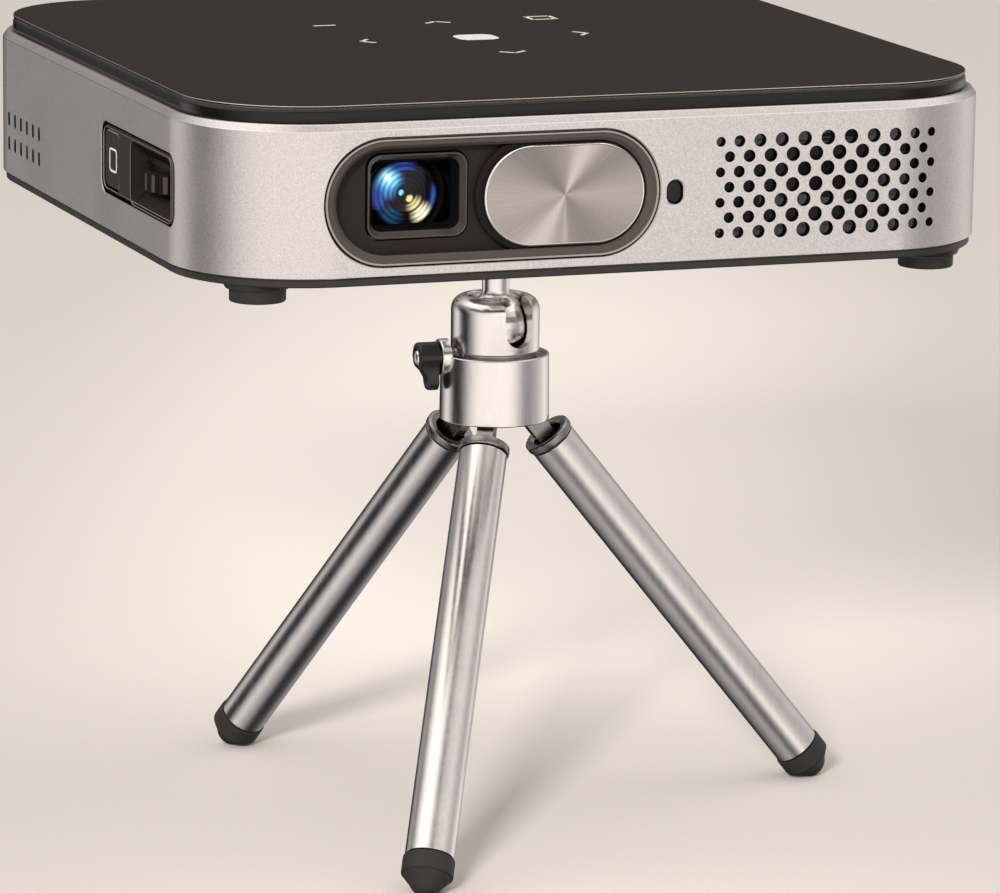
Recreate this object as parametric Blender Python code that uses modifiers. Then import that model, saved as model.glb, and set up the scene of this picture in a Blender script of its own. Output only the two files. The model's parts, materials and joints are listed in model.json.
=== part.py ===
"""A pocket home projector on a folding mini tripod with a ball head.

The projector is a square box with rounded corners: a metal side band between a dark lid and a dark
bottom cover, with a sliding lens cover, a focus wheel and a power button. All sizes are in
millimetres and are turned into metres by MM. Heights called h are measured from the lower edge of the
metal side band. The tripod stands on z = 0, and the projector's box is centred on the origin.
+X is right and -Y is the front, as seen by someone who faces the lens.
"""

import math

import bmesh
import bpy
from mathutils import Matrix, Vector

MM = 0.001
GAP = 0.3

# Projector case
BODY_SIDE = 146.0
CORNER_R = 23.0
CORNER_STEPS = 8
SIDE_H = 24.66
BAND_TOP_H = 25.82
BAND_CHAMFER_IN = 0.8
WALL = 1.6
LID_INSET = 1.9
LID_LOW_H = 25.4
LID_TOP_H = 27.9
LID_SKIRT_LOW_H = 23.7
GLASS_INSET = 1.94
GLASS_LOW_H = 28.2
GLASS_TOP_H = 28.72
COVER_INSET = 0.56
COVER_LOW_H = -1.53
COVER_TOP_H = -0.3
LIP_TOP_H = 1.6
FOOT_X = 61.0
FOOT_Y = 62.0
FOOT_R = 4.8
FOOT_TOP_H = -2.9
FOOT_LOW_H = -4.9

# Openings in the side band
GRILLE_X = 37.3
GRILLE_LOW_H = 4.55
GRILLE_PITCH_X = 4.3
GRILLE_SQUEEZE = 0.0144
GRILLE_PITCH_H = 2.608
GRILLE_ROWS = 7
GRILLE_HALF_COLUMNS = 5
GRILLE_HOLE_MIN = 1.6
GRILLE_HOLE_MAX = 2.45
VENT_FIRST_Y = 29.0
VENT_PITCH = 4.0
VENT_COLUMNS = 6
VENT_LOW_H = (4.5, 9.0)
VENT_SIZE = (1.1, 2.55)
IR_X, IR_H = 9.5, 11.9
IR_SIZE = (2.9, 4.1)
REAR_PANEL_SIZE = (66.0, 12.0)
REAR_PANEL_H = 12.0

# Lens group, on the front
TRACK_X, TRACK_H = -23.1, 12.4
BEZEL_SIZE = (59.3, 21.2)
BEZEL_OPENING = (55.1, 17.9)
TRACK_SIZE = (57.9, 20.1)
BEZEL_FRONT_Y = -72.9
BEZEL_LIP_Y = -71.9
BEZEL_BACK_Y = -70.2
COVER_X = -10.3
COVER_SIZE = (28.8, 17.2)
COVER_DEPTH = (72.0, 72.75)
CARRIER_DEPTH = (70.6, 71.6)
CARRIER_X = -10.4
CARRIER_SIZE = (31.0, 19.4)
LENS_X, LENS_H = -36.0, 12.4
WINDOW_X, WINDOW_H = -35.75, 12.95
WINDOW_OUTER = (17.6, 14.2)
WINDOW_INNER = (15.7, 12.3)
BARREL_R = 7.3
BARREL_BORE_R = 6.3
BARREL_FRONT_Y = -64.4
BARREL_BACK_Y = -44.5
HOUSING_R = 9.0
HOUSING_DEPTH = (62.0, 43.0)
GLASS_R = 6.0

# Control panel, on the left side
PANEL_Y = (-53.0, -10.8)
PANEL_H = (6.5, 18.5)
PANEL_X = (-72.8, -68.8)
BUTTON_Y = (-20.6, -11.6)
BUTTON_H = (7.5, 17.5)
SCOOP_Y = (-50.9, -27.9)
SCOOP_H = (7.0, 17.5)
SCOOP_FLOOR_X = -70.2
SCOOP_FLOOR_Y = (-48.5, -29.0)
SCOOP_FLOOR_H = (9.6, 15.2)
WHEEL_X, WHEEL_Y = -64.6, -36.0
WHEEL_R = 8.0
WHEEL_H = (9.7, 13.6)
WHEEL_RIBS = 18
PINION_R = 2.0
PINION_TEETH = 10
PINION_H = (7.3, 9.9)
RACK_H = (7.5, 9.1)

# Inside the case, as the low and high corners of boxes with their heights h
ENGINE_BOX = ((-54.0, -42.0, 3.0), (-12.0, -8.0, 22.0))
LED_BOX = ((-11.6, -38.0, 5.0), (-8.6, -20.0, 20.0))
IMAGING_BOARD_BOX = ((-50.0, -7.4, 3.5), (-14.0, -6.0, 21.5))
IMAGING_CHIP_BOX = ((-40.0, -6.2, 8.0), (-24.0, -4.2, 17.0))
MAIN_BOARD_BOX = ((-64.0, 3.0, 18.4), (64.0, 58.0, 20.0))
MAIN_CHIPS = ((-20.0, 22.0, 15.0), (12.0, 24.0, 12.0), (40.0, 36.0, 9.0))
MAIN_CHIP_TOP = 21.6
BATTERY_BOX = ((-46.0, 4.0, 2.4), (52.0, 52.0, 15.5))
SPEAKER_BOX = ((-69.6, 24.0, 3.0), (-58.0, 54.0, 16.5))
SPEAKER_CONE_R = (5.6, 2.5)
SPEAKER_CONE_DEPTH = 9.6
BLOWER_CENTRE = (42.0, -43.0)
BLOWER_HALF = 22.5
BLOWER_H = (4.5, 17.5)
BLOWER_FLOOR = 1.5
BLOWER_CHAMBER_R = 17.6
BLOWER_OUTLET_HALF = 14.0
FAN_BLADES = 9
FAN_HUB_R = 6.0
FAN_TIP_R = 16.6
SINK_X = (-7.6, 12.6)
SINK_Y = (-60.0, -24.0)
SINK_H = (4.0, 6.0, 20.0)
SINK_FINS = 8
SINK_PITCH = 2.7
SINK_FIN = 1.0

# Tripod
TRIPOD_Y = -11.5
LEG_SPREAD = math.radians(39.04)
LEG_AZIMUTHS = {"a": -120.0, "b": 120.0, "c": 0.0}
PIVOT_R = 6.0
PIVOT_H = -36.46
LEG_LEN = 86.6
RING_START = 6.28
RING_END = 7.88
TUBE_R = 4.3
TUBE_BORE_R = 3.6
RING_R = 4.6
TIP_LEN = 6.75
TIP_R = 3.25
TIP_FLAT = 0.25
COLLAR_R = 9.9
COLLAR_H = (-38.1, -26.1)
CUP_R = 7.95
CUP_H = (-25.6, -15.6)
CUP_FILLET = 2.6
BALL_H = -21.4
BALL_R = 6.2
SOCKET_R = 6.5
SOCKET_MOUTH_R = 4.9
NECK_R = 2.45
PLATFORM_R = 11.0
SLOT_AZIMUTH = -75.0
SLOT_WIDTH = 5.8
KNOB_AZIMUTH = 177.0
KNOB_H = -26.6
LUG_R = 3.3
LUG_OUT = 10.6

# Height of the side band's lower edge above the floor, from the legs' length and spread
BAND_Z = (LEG_LEN + TIP_LEN - TIP_R) * math.cos(LEG_SPREAD) + TIP_R - TIP_FLAT - PIVOT_H

FRONT = (math.radians(90), 0, 0)
LEFT = (math.radians(90), 0, math.radians(-90))
REAR = (math.radians(90), 0, math.radians(180))


# ---------------------------------------------------------------- scene and materials

def clear_scene():
    for obj in list(bpy.data.objects):
        bpy.data.objects.remove(obj)


def new_collection(name):
    collection = bpy.data.collections.new(name)
    bpy.context.scene.collection.children.link(collection)
    return collection


def finish(name, colour, roughness, metallic=0.0):
    made = bpy.data.materials.new(name)
    made.use_nodes = True
    shader = made.node_tree.nodes["Principled BSDF"]
    shader.inputs["Base Color"].default_value = (*colour, 1.0)
    shader.inputs["Roughness"].default_value = roughness
    shader.inputs["Metallic"].default_value = metallic
    made.diffuse_color = (*colour, 1.0)
    return made


clear_scene()
PARTS = new_collection("home_projector")
CUTTERS = new_collection("home_projector_cutters")

SATIN_METAL = finish("satin_metal", (0.57, 0.54, 0.53), 0.38, 0.85)
BRUSHED_METAL = finish("brushed_metal", (0.55, 0.51, 0.48), 0.3, 1.0)
CHROME = finish("satin_chrome", (0.66, 0.63, 0.60), 0.22, 1.0)
DARK_STEEL = finish("dark_steel", (0.16, 0.15, 0.15), 0.35, 0.9)
BRASS = finish("brass", (0.70, 0.50, 0.20), 0.3, 1.0)
LID_BLACK = finish("lid_black", (0.045, 0.038, 0.033), 0.4)
GLOSS_BLACK = finish("gloss_black", (0.012, 0.011, 0.011), 0.12)
DARK_PLASTIC = finish("dark_plastic", (0.05, 0.045, 0.042), 0.45)
RUBBER = finish("black_rubber", (0.015, 0.014, 0.014), 0.75)
LENS_GLASS = finish("coated_glass", (0.05, 0.12, 0.22), 0.03)
ALLOY = finish("bare_alloy", (0.62, 0.62, 0.63), 0.4, 1.0)
BOARD_GREEN = finish("board_green", (0.02, 0.12, 0.06), 0.5)
CELL_BLUE = finish("cell_wrap", (0.05, 0.09, 0.2), 0.5)


# ---------------------------------------------------------------- outlines

def rounded_rect(width, height, radius, centre=(0.0, 0.0), steps=CORNER_STEPS):
    """Points round a rectangle with round corners, anticlockwise."""
    points = []
    for corner, (sx, sy) in enumerate(((1, 1), (-1, 1), (-1, -1), (1, -1))):
        cx = centre[0] + sx * (width / 2 - radius)
        cy = centre[1] + sy * (height / 2 - radius)
        for i in range(steps + 1):
            angle = math.radians(90 * (corner + i / steps))
            points.append((cx + radius * math.cos(angle), cy + radius * math.sin(angle)))
    return [p for i, p in enumerate(points) if math.dist(p, points[i - 1]) > 1e-6]


def stadium(size, centre, steps=CORNER_STEPS):
    return rounded_rect(size[0], size[1], min(size) / 2, centre, steps)


def span_rect(across, up, radius, steps=4):
    """A rounded rectangle from its two spans."""
    centre = (sum(across) / 2, sum(up) / 2)
    return rounded_rect(across[1] - across[0], up[1] - up[0], radius, centre, steps)


def body_outline(inset):
    side = BODY_SIDE - 2 * inset
    return rounded_rect(side, side, CORNER_R - inset)


def arc(radius, start, end, steps, centre=(0.0, 0.0)):
    """Points on an arc, with angles in degrees."""
    angles = [math.radians(start + (end - start) * i / steps) for i in range(steps + 1)]
    return [(centre[0] + radius * math.cos(a), centre[1] + radius * math.sin(a)) for a in angles]


# ---------------------------------------------------------------- meshes, from millimetres

def mesh_of(name, bm):
    bmesh.ops.recalc_face_normals(bm, faces=bm.faces)
    bmesh.ops.scale(bm, vec=(MM, MM, MM), verts=bm.verts)
    mesh = bpy.data.meshes.new(name)
    bm.to_mesh(mesh)
    bm.free()
    return mesh


def block(name, low, high):
    bm = bmesh.new()
    bmesh.ops.create_cube(bm, size=1.0)
    size = Vector(high) - Vector(low)
    centre = (Vector(high) + Vector(low)) / 2
    matrix = Matrix.Translation(centre) @ Matrix.Diagonal((*size, 1.0))
    bmesh.ops.transform(bm, matrix=matrix, verts=bm.verts)
    return mesh_of(name, bm)


def rod(name, radius, low, high, segments=16, top_radius=None):
    """A cylinder or cone along Z, from height low to high."""
    bm = bmesh.new()
    bmesh.ops.create_cone(
        bm,
        cap_ends=True,
        segments=segments,
        radius1=radius,
        radius2=radius if top_radius is None else top_radius,
        depth=high - low,
        matrix=Matrix.Translation((0, 0, (low + high) / 2)),
    )
    return mesh_of(name, bm)


def extruded(name, outlines, low, high):
    """A flat outline in XY, with any holes as further outlines, from height low to high."""
    curve = bpy.data.curves.new(name, "CURVE")
    curve.dimensions = "2D"
    curve.fill_mode = "BOTH"
    curve.extrude = (high - low) / 2
    for outline in outlines:
        spline = curve.splines.new("POLY")
        spline.points.add(len(outline) - 1)
        for point, (x, y) in zip(spline.points, outline):
            point.co = (x, y, 0, 1)
        spline.use_cyclic_u = True
    flat = bpy.data.objects.new(name, curve)
    bpy.context.scene.collection.objects.link(flat)
    graph = bpy.context.evaluated_depsgraph_get()
    solid = bpy.data.meshes.new_from_object(flat.evaluated_get(graph))
    bpy.data.objects.remove(flat)
    bpy.data.curves.remove(curve)
    bm = bmesh.new()
    bm.from_mesh(solid)
    bpy.data.meshes.remove(solid)
    bmesh.ops.remove_doubles(bm, verts=bm.verts, dist=1e-4)
    bmesh.ops.translate(bm, vec=(0, 0, (low + high) / 2), verts=bm.verts)
    return mesh_of(name, bm)


def taper(name, low_span, high_span, low, high):
    """A block whose X and Y spans change from height low to height high."""
    bm = bmesh.new()
    bmesh.ops.create_cube(bm, size=1.0)
    for vert in bm.verts:
        spans, height = (high_span, high) if vert.co.z > 0 else (low_span, low)
        x = spans[0][1] if vert.co.x > 0 else spans[0][0]
        y = spans[1][1] if vert.co.y > 0 else spans[1][0]
        vert.co = (x, y, height)
    return mesh_of(name, bm)


def profile_mesh(name, profile, closed):
    """The half section of a turned piece, as (radius, height) points."""
    mesh = bpy.data.meshes.new(name)
    edges = [(i, i + 1) for i in range(len(profile) - 1)]
    if closed:
        edges.append((len(profile) - 1, 0))
    mesh.from_pydata([(r * MM, 0, z * MM) for r, z in profile], edges, [])
    return mesh


# ---------------------------------------------------------------- objects and modifiers

def pivot(name, at, turn=(0, 0, 0), parent=None):
    """An empty on a joint's axis, which holds the pieces that move together."""
    empty = bpy.data.objects.new(name, None)
    empty.empty_display_size = 5 * MM
    PARTS.objects.link(empty)
    empty.location = Vector(at) * MM
    empty.rotation_euler = turn
    empty.parent = parent
    return empty


def part(mesh, look, parent, at=(0, 0, 0), turn=(0, 0, 0)):
    mesh.materials.clear()
    mesh.materials.append(look)
    obj = bpy.data.objects.new(mesh.name, mesh)
    PARTS.objects.link(obj)
    obj.location = Vector(at) * MM
    obj.rotation_euler = turn
    obj.parent = parent
    return obj


def tool(mesh, parent, at=(0, 0, 0), turn=(0, 0, 0)):
    """A solid that is only cut from, or joined to, another."""
    obj = bpy.data.objects.new(mesh.name, mesh)
    CUTTERS.objects.link(obj)
    obj.location = Vector(at) * MM
    obj.rotation_euler = turn
    obj.parent = parent
    obj.hide_render = True
    obj.display_type = "WIRE"
    return obj


def boolean(obj, other, operation):
    modifier = obj.modifiers.new(other.name, "BOOLEAN")
    modifier.operation = operation
    modifier.solver = "EXACT"
    modifier.object = other


def cut(obj, other):
    boolean(obj, other, "DIFFERENCE")


def join(obj, other):
    boolean(obj, other, "UNION")


def turned(obj, steps=24):
    """Turns the object's profile into a round solid."""
    screw = obj.modifiers.new("turn", "SCREW")
    screw.angle = 2 * math.pi
    screw.steps = steps
    screw.render_steps = steps
    screw.use_merge_vertices = True
    screw.merge_threshold = 1e-5
    screw.use_smooth_shade = True
    return obj


def soften(obj, width, segments=1):
    bevel = obj.modifiers.new("edges", "BEVEL")
    bevel.width = width * MM
    bevel.segments = segments
    bevel.limit_method = "ANGLE"
    bevel.angle_limit = math.radians(40)
    return obj


def turned_part(name, profile, look, parent, at=(0, 0, 0), turn=(0, 0, 0), closed=False, steps=24):
    return turned(part(profile_mesh(name, profile, closed), look, parent, at, turn), steps)


# ---------------------------------------------------------------- projector case

def side_band(datum):
    """The metal band: an open wall with a chamfered top edge, thickened inwards."""
    bm = bmesh.new()
    loops = []
    for inset, height in ((0, 0), (0, SIDE_H), (BAND_CHAMFER_IN, BAND_TOP_H)):
        loops.append([bm.verts.new((x, y, height)) for x, y in body_outline(inset)])
    for lower, upper in zip(loops, loops[1:]):
        for i in range(len(lower)):
            bm.faces.new((lower[i - 1], lower[i], upper[i], upper[i - 1]))
    bmesh.ops.scale(bm, vec=(MM, MM, MM), verts=bm.verts)
    mesh = bpy.data.meshes.new("side_shell")
    bm.to_mesh(mesh)
    bm.free()
    shell = part(mesh, SATIN_METAL, datum)
    solidify = shell.modifiers.new("wall", "SOLIDIFY")
    solidify.thickness = WALL * MM
    solidify.offset = -1
    solidify.use_even_offset = True
    depth = 3 * WALL
    half = BODY_SIDE / 2
    bezel_room = (BEZEL_SIZE[0] + 2 * GAP, BEZEL_SIZE[1] + 2 * GAP)
    for centre, size in (((TRACK_X, TRACK_H), bezel_room), ((IR_X, IR_H), IR_SIZE)):
        hole = stadium(size, centre)
        cut(shell, tool(extruded("front_opening", [hole], -depth, depth), datum, (0, -half, 0), FRONT))
    for row in range(GRILLE_ROWS):
        cut(shell, tool(grille_row(row, depth), datum, (0, -half, 0), FRONT))
    panel = span_rect([-v for v in reversed(PANEL_Y)], PANEL_H, 2.5)
    left_opening = extruded("left_opening", [grown(panel, GAP)], -depth, depth)
    cut(shell, tool(left_opening, datum, (-half, 0, 0), LEFT))
    for low_h in VENT_LOW_H:
        for column in range(VENT_COLUMNS):
            y = VENT_FIRST_Y + VENT_PITCH * column
            low = (-half - depth, y - VENT_SIZE[0] / 2, low_h)
            high = (half + depth, y + VENT_SIZE[0] / 2, low_h + VENT_SIZE[1])
            cut(shell, tool(block("vent", low, high), datum))
    width, height = REAR_PANEL_SIZE
    opening = rounded_rect(width + 2 * GAP, height + 2 * GAP, 2 + GAP, (0, REAR_PANEL_H), 4)
    cut(shell, tool(extruded("rear_opening", [opening], -depth, depth), datum, (0, half, 0), REAR))
    return shell


def grown(outline, by):
    """An outline moved outwards from its middle along X and Y."""
    xs, ys = zip(*outline)
    cx, cy = (min(xs) + max(xs)) / 2, (min(ys) + max(ys)) / 2
    sx = 1 + 2 * by / (max(xs) - min(xs))
    sy = 1 + 2 * by / (max(ys) - min(ys))
    return [(cx + (x - cx) * sx, cy + (y - cy) * sy) for x, y in outline]


def grille_row(row, depth):
    """One row of round cutters. The holes shrink and close up towards the row's ends."""
    bm = bmesh.new()
    shift = 0.0 if row % 2 == 0 else 0.5
    count = 2 * GRILLE_HALF_COLUMNS + 1 - row % 2
    for i in range(count):
        n = i - GRILLE_HALF_COLUMNS + shift
        share = 1 - (n / GRILLE_HALF_COLUMNS) ** 2
        hole = GRILLE_HOLE_MIN + (GRILLE_HOLE_MAX - GRILLE_HOLE_MIN) * share
        x = GRILLE_X + GRILLE_PITCH_X * n - GRILLE_SQUEEZE * n**3
        y = GRILLE_LOW_H + GRILLE_PITCH_H * row
        bmesh.ops.create_cone(
            bm,
            cap_ends=True,
            segments=8,
            radius1=hole / 2,
            radius2=hole / 2,
            depth=2 * depth,
            matrix=Matrix.Translation((x, y, 0)),
        )
    return mesh_of("grille_row", bm)


def lid(datum):
    """The dark lid: a plate with a skirt that drops inside the side band."""
    top = part(extruded("top_cover", [body_outline(LID_INSET)], LID_LOW_H, LID_TOP_H), LID_BLACK, datum)
    skirt = extruded("skirt", [body_outline(2.5), body_outline(4.0)], LID_SKIRT_LOW_H, LID_LOW_H + 0.5)
    join(top, tool(skirt, datum))
    plate = extruded("touch_panel", [body_outline(GLASS_INSET)], GLASS_LOW_H, GLASS_TOP_H)
    soften(part(plate, LID_BLACK, datum), 0.15)


def bottom(datum):
    """The bottom cover, with a locating lip, four foot bosses, the tripod boss and air slots."""
    cover = part(
        extruded("bottom_cover", [body_outline(COVER_INSET)], COVER_LOW_H, COVER_TOP_H), DARK_PLASTIC, datum
    )
    lip = extruded("lip", [body_outline(2.3), body_outline(3.4)], COVER_TOP_H - 0.5, LIP_TOP_H)
    join(cover, tool(lip, datum))
    boss_low, boss_wide, boss_narrow = -2.6, 5.9, 5.5
    for x in (-FOOT_X, FOOT_X):
        for y in (-FOOT_Y, FOOT_Y):
            boss = rod("foot_boss", boss_narrow, boss_low, COVER_LOW_H + 0.5, 20, boss_wide)
            join(cover, tool(boss, datum, (x, y, 0)))
    insert_r, boss_r, boss_top = 4.6, 6.6, 8.0
    join(cover, tool(rod("tripod_boss", boss_r, COVER_TOP_H - 0.5, boss_top, 20), datum, (0, TRIPOD_Y, 0)))
    bore = rod("insert_bore", insert_r + GAP, COVER_LOW_H - 1, boss_top + 1, 20)
    cut(cover, tool(bore, datum, (0, TRIPOD_Y, 0)))
    slots, slot_pitch, slot_size = 9, 4.4, (1.6, 22.0)
    for i in range(slots):
        x = GRILLE_X + slot_pitch * (i - (slots - 1) / 2)
        slot = stadium(slot_size, (x, -42.0), 3)
        cut(cover, tool(extruded("air_slot", [slot], COVER_LOW_H - 1, COVER_TOP_H + 1), datum))
    thread_r, insert_top = 3.45, 7.4
    ring = [(insert_r, insert_top), (insert_r, COVER_LOW_H), (thread_r, COVER_LOW_H), (thread_r, insert_top)]
    turned_part("thread_insert", ring, BRASS, datum, (0, TRIPOD_Y, 0), closed=True, steps=16)
    chamfer = 0.5
    foot = [
        (0, FOOT_TOP_H),
        (FOOT_R, FOOT_TOP_H),
        (FOOT_R, FOOT_LOW_H + chamfer),
        (FOOT_R - chamfer, FOOT_LOW_H),
        (0, FOOT_LOW_H),
    ]
    for y_name, y in (("front", -FOOT_Y), ("rear", FOOT_Y)):
        for x_name, x in (("left", -FOOT_X), ("right", FOOT_X)):
            turned_part(f"rubber_foot_{y_name}_{x_name}", foot, RUBBER, datum, (x, y, 0), steps=20)


# ---------------------------------------------------------------- lens group

def lens_front(datum):
    """The bezel with its hidden track, the panel behind it and the frame round the lens."""
    track = (TRACK_X, TRACK_H)
    rims = [stadium(BEZEL_SIZE, track), stadium(BEZEL_OPENING, track)]
    bezel = part(extruded("lens_bezel", rims, -BEZEL_BACK_Y, -BEZEL_FRONT_Y), DARK_PLASTIC, datum, turn=FRONT)
    groove = extruded("cover_track", [stadium(TRACK_SIZE, track)], -BEZEL_BACK_Y - 1, -BEZEL_LIP_Y)
    cut(bezel, tool(groove, datum, turn=FRONT))
    panel_front, panel_back = 69.9, 68.4
    window = (WINDOW_X, WINDOW_H)
    hole = rounded_rect(WINDOW_OUTER[0] + 2 * GAP, WINDOW_OUTER[1] + 2 * GAP, 1.9, window, 4)
    plate = [rounded_rect(62.0, 20.4, 8.0, track, 4), hole]
    part(extruded("lens_panel", plate, panel_back, panel_front), GLOSS_BLACK, datum, turn=FRONT)
    frame_front, frame_back = 70.3, 66.0
    frame = [rounded_rect(*WINDOW_OUTER, 1.6, window, 4), rounded_rect(*WINDOW_INNER, 1.3, window, 4)]
    part(extruded("lens_window_frame", frame, frame_back, frame_front), DARK_PLASTIC, datum, turn=FRONT)
    ir_front, ir_back = 72.9, 70.6
    ir = [stadium((IR_SIZE[0] - GAP, IR_SIZE[1] - GAP), (IR_X, IR_H), 4)]
    part(extruded("ir_window", ir, ir_back, ir_front), GLOSS_BLACK, datum, turn=FRONT)


def sliding_cover(datum):
    """The metal lens cover on its dark carrier, which runs in the bezel's track."""
    slide = pivot("lens_cover_slide", (0, 0, 0), parent=datum)
    disc = extruded("lens_cover", [stadium(COVER_SIZE, (COVER_X, TRACK_H))], *COVER_DEPTH)
    soften(part(disc, BRUSHED_METAL, slide, turn=FRONT), 0.15)
    base = extruded("cover_carrier", [stadium(CARRIER_SIZE, (CARRIER_X, TRACK_H))], *CARRIER_DEPTH)
    part(base, DARK_PLASTIC, slide, turn=FRONT)


def focus_barrel(datum):
    """The moving barrel with its two lenses and the rack that the focus wheel drives."""
    slide = pivot("lens_barrel_slide", (LENS_X, 0, LENS_H), parent=datum)
    front, back = -BARREL_FRONT_Y, -BARREL_BACK_Y
    tube = [(BARREL_R, front), (BARREL_R, back), (BARREL_BORE_R, back), (BARREL_BORE_R, front)]
    turned_part("lens_barrel", tube, DARK_STEEL, slide, turn=FRONT, closed=True)
    front_lens = lens_profile(GLASS_R, front + 0.8, front - 0.4, front - 2.6, front - 2.2)
    turned_part("front_lens", front_lens, LENS_GLASS, slide, turn=FRONT)
    rear_lens = lens_profile(GLASS_R, back + 4.6, back + 3.4, back + 1.4, back + 0.4)
    turned_part("rear_lens", rear_lens, LENS_GLASS, slide, turn=FRONT)
    bar_x = (WHEEL_X + PINION_R + 0.4, WHEEL_X + PINION_R + 2.0)
    bar_y = (WHEEL_Y - 14.0, WHEEL_Y + 5.2)
    outline = [(bar_x[1], bar_y[0]), (bar_x[1], bar_y[1]), (bar_x[0], bar_y[1])]
    teeth, root, tip = 7, 0.34, 0.14
    pitch = 2 * math.pi * PINION_R / PINION_TEETH
    tip_x = WHEEL_X + PINION_R - 0.35
    for i in range(teeth):
        y = WHEEL_Y - pitch * (i - (teeth - 1) / 2)
        outline += [(bar_x[0], y + root), (tip_x, y + tip), (tip_x, y - tip), (bar_x[0], y - root)]
    outline.append((bar_x[0], bar_y[0]))
    rack = part(extruded("focus_rack", [outline], *RACK_H), ALLOY, slide, (-LENS_X, 0, -LENS_H))
    arm_end, arm_width = LENS_X - BARREL_R + 0.3, 3.6
    arm = block("rack_arm", (bar_x[1] - 0.5, bar_y[0], RACK_H[0]), (arm_end, bar_y[0] + arm_width, RACK_H[1]))
    join(rack, tool(arm, datum))


def lens_profile(radius, front_apex, front_edge, back_edge, back_apex):
    """Half section of a lens whose two faces are shallow curves."""
    rings = 4
    front, back = [], []
    for i in range(rings):
        share = i / rings
        front.append((radius * share, front_apex + (front_edge - front_apex) * share**2))
        back.append((radius * share, back_apex + (back_edge - back_apex) * share**2))
    return [*front, (radius, front_edge), (radius, back_edge), *reversed(back)]


def optics(datum):
    """The fixed light path: barrel housing, light engine, lamp module and imaging board."""
    bore = BARREL_R + GAP
    front, back = HOUSING_DEPTH
    tube = [(HOUSING_R, front), (HOUSING_R, back), (bore, back), (bore, front)]
    housing = turned_part("barrel_housing", tube, ALLOY, datum, (LENS_X, 0, LENS_H), FRONT, closed=True)
    slot = block("rack_slot", (LENS_X - 12, -52.2, RACK_H[0] - 0.4), (LENS_X - 5.5, -44.2, RACK_H[1] + 0.4))
    cut(housing, tool(slot, datum))
    engine = part(block("optical_engine", *ENGINE_BOX), ALLOY, datum)
    soften(engine, 0.8)
    port = rod("light_port", BARREL_BORE_R, 38.0, 44.0, 20)
    cut(engine, tool(port, datum, (LENS_X, 0, LENS_H), FRONT))
    part(block("led_module", *LED_BOX), BRASS, datum)
    board = part(block("imaging_board", *IMAGING_BOARD_BOX), BOARD_GREEN, datum)
    join(board, tool(block("imaging_chip", *IMAGING_CHIP_BOX), datum))


# ---------------------------------------------------------------- controls

def control_panel(datum):
    """The left panel with a button hole, a funnel for the thumb and a bracket for the wheel."""
    depth = (-PANEL_X[1], -PANEL_X[0])
    outline = span_rect([-v for v in reversed(PANEL_Y)], PANEL_H, 2.5)
    panel = part(extruded("side_panel", [outline], *depth), DARK_PLASTIC, datum, turn=LEFT)
    hole = span_rect((-BUTTON_Y[1] - GAP, -BUTTON_Y[0] + GAP), (BUTTON_H[0] - GAP, BUTTON_H[1] + GAP), 1.5)
    cut(panel, tool(extruded("button_hole", [hole], depth[0] - 1, depth[1] + 1), datum, turn=LEFT))
    mouth = ([-v for v in reversed(SCOOP_Y)], SCOOP_H)
    floor = ([-v for v in reversed(SCOOP_FLOOR_Y)], SCOOP_FLOOR_H)
    scoop = taper("thumb_scoop", floor, mouth, -SCOOP_FLOOR_X, depth[1] + 0.01)
    cut(panel, tool(scoop, datum, turn=LEFT))
    wheel_room = 7.0
    low = (PANEL_X[0], WHEEL_Y - wheel_room, WHEEL_H[0] - 0.5)
    high = (PANEL_X[1] + 1, WHEEL_Y + wheel_room, WHEEL_H[1] + 0.5)
    cut(panel, tool(block("wheel_slot", low, high), datum))
    ear_length = 3.2
    for low_h, high_h in ((5.4, 6.9), (15.4, 16.9)):
        low = (PANEL_X[1] - 0.5, WHEEL_Y - 4, low_h)
        high = (WHEEL_X + ear_length, WHEEL_Y + 4, high_h)
        join(panel, tool(block("spindle_ear", low, high), datum))
    spindle = rod("spindle_bore", 1.0 + GAP, 4, 18, 10)
    cut(panel, tool(spindle, datum, (WHEEL_X, WHEEL_Y, 0)))


def power_button(datum):
    slide = pivot("power_button_slide", (0, 0, 0), parent=datum)
    front, back = 72.6, 68.4
    face = span_rect((-BUTTON_Y[1], -BUTTON_Y[0]), BUTTON_H, 1.2)
    button = part(extruded("power_button", [face], back, front), DARK_PLASTIC, slide, turn=LEFT)
    flange = span_rect((-BUTTON_Y[1] - 1.2, -BUTTON_Y[0] + 1.2), (BUTTON_H[0] - 1, BUTTON_H[1] + 1), 1.2)
    join(button, tool(extruded("button_flange", [flange], back - 0.9, back + 0.1), datum, turn=LEFT))


def focus_wheel(datum):
    """The ribbed thumb wheel with its spindle and the pinion that drives the rack."""
    hinge = pivot("focus_wheel_axis", (WHEEL_X, WHEEL_Y, 0), parent=datum)
    rim = []
    pitch, groove = 360 / WHEEL_RIBS, 0.6
    for i in range(WHEEL_RIBS):
        middle = pitch * i
        rim += arc(WHEEL_R, middle - 0.2 * pitch, middle + 0.2 * pitch, 1)
        rim += arc(WHEEL_R - groove, middle + 0.3 * pitch, middle + 0.7 * pitch, 1)
    wheel = part(extruded("focus_wheel", [rim], *WHEEL_H), DARK_PLASTIC, hinge)
    gear = []
    for i in range(PINION_TEETH):
        middle = 360 * (i + 0.5) / PINION_TEETH
        gear += arc(1.5, middle - 11.5, middle + 11.5, 1)[:1]
        gear += arc(2.35, middle - 5.5, middle + 5.5, 1)
        gear += arc(1.5, middle - 11.5, middle + 11.5, 1)[1:]
    join(wheel, tool(extruded("pinion", [gear], *PINION_H), hinge))
    join(wheel, tool(rod("spindle", 1.0, 5.0, 17.3, 10), hinge))


# ---------------------------------------------------------------- inside the case

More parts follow.
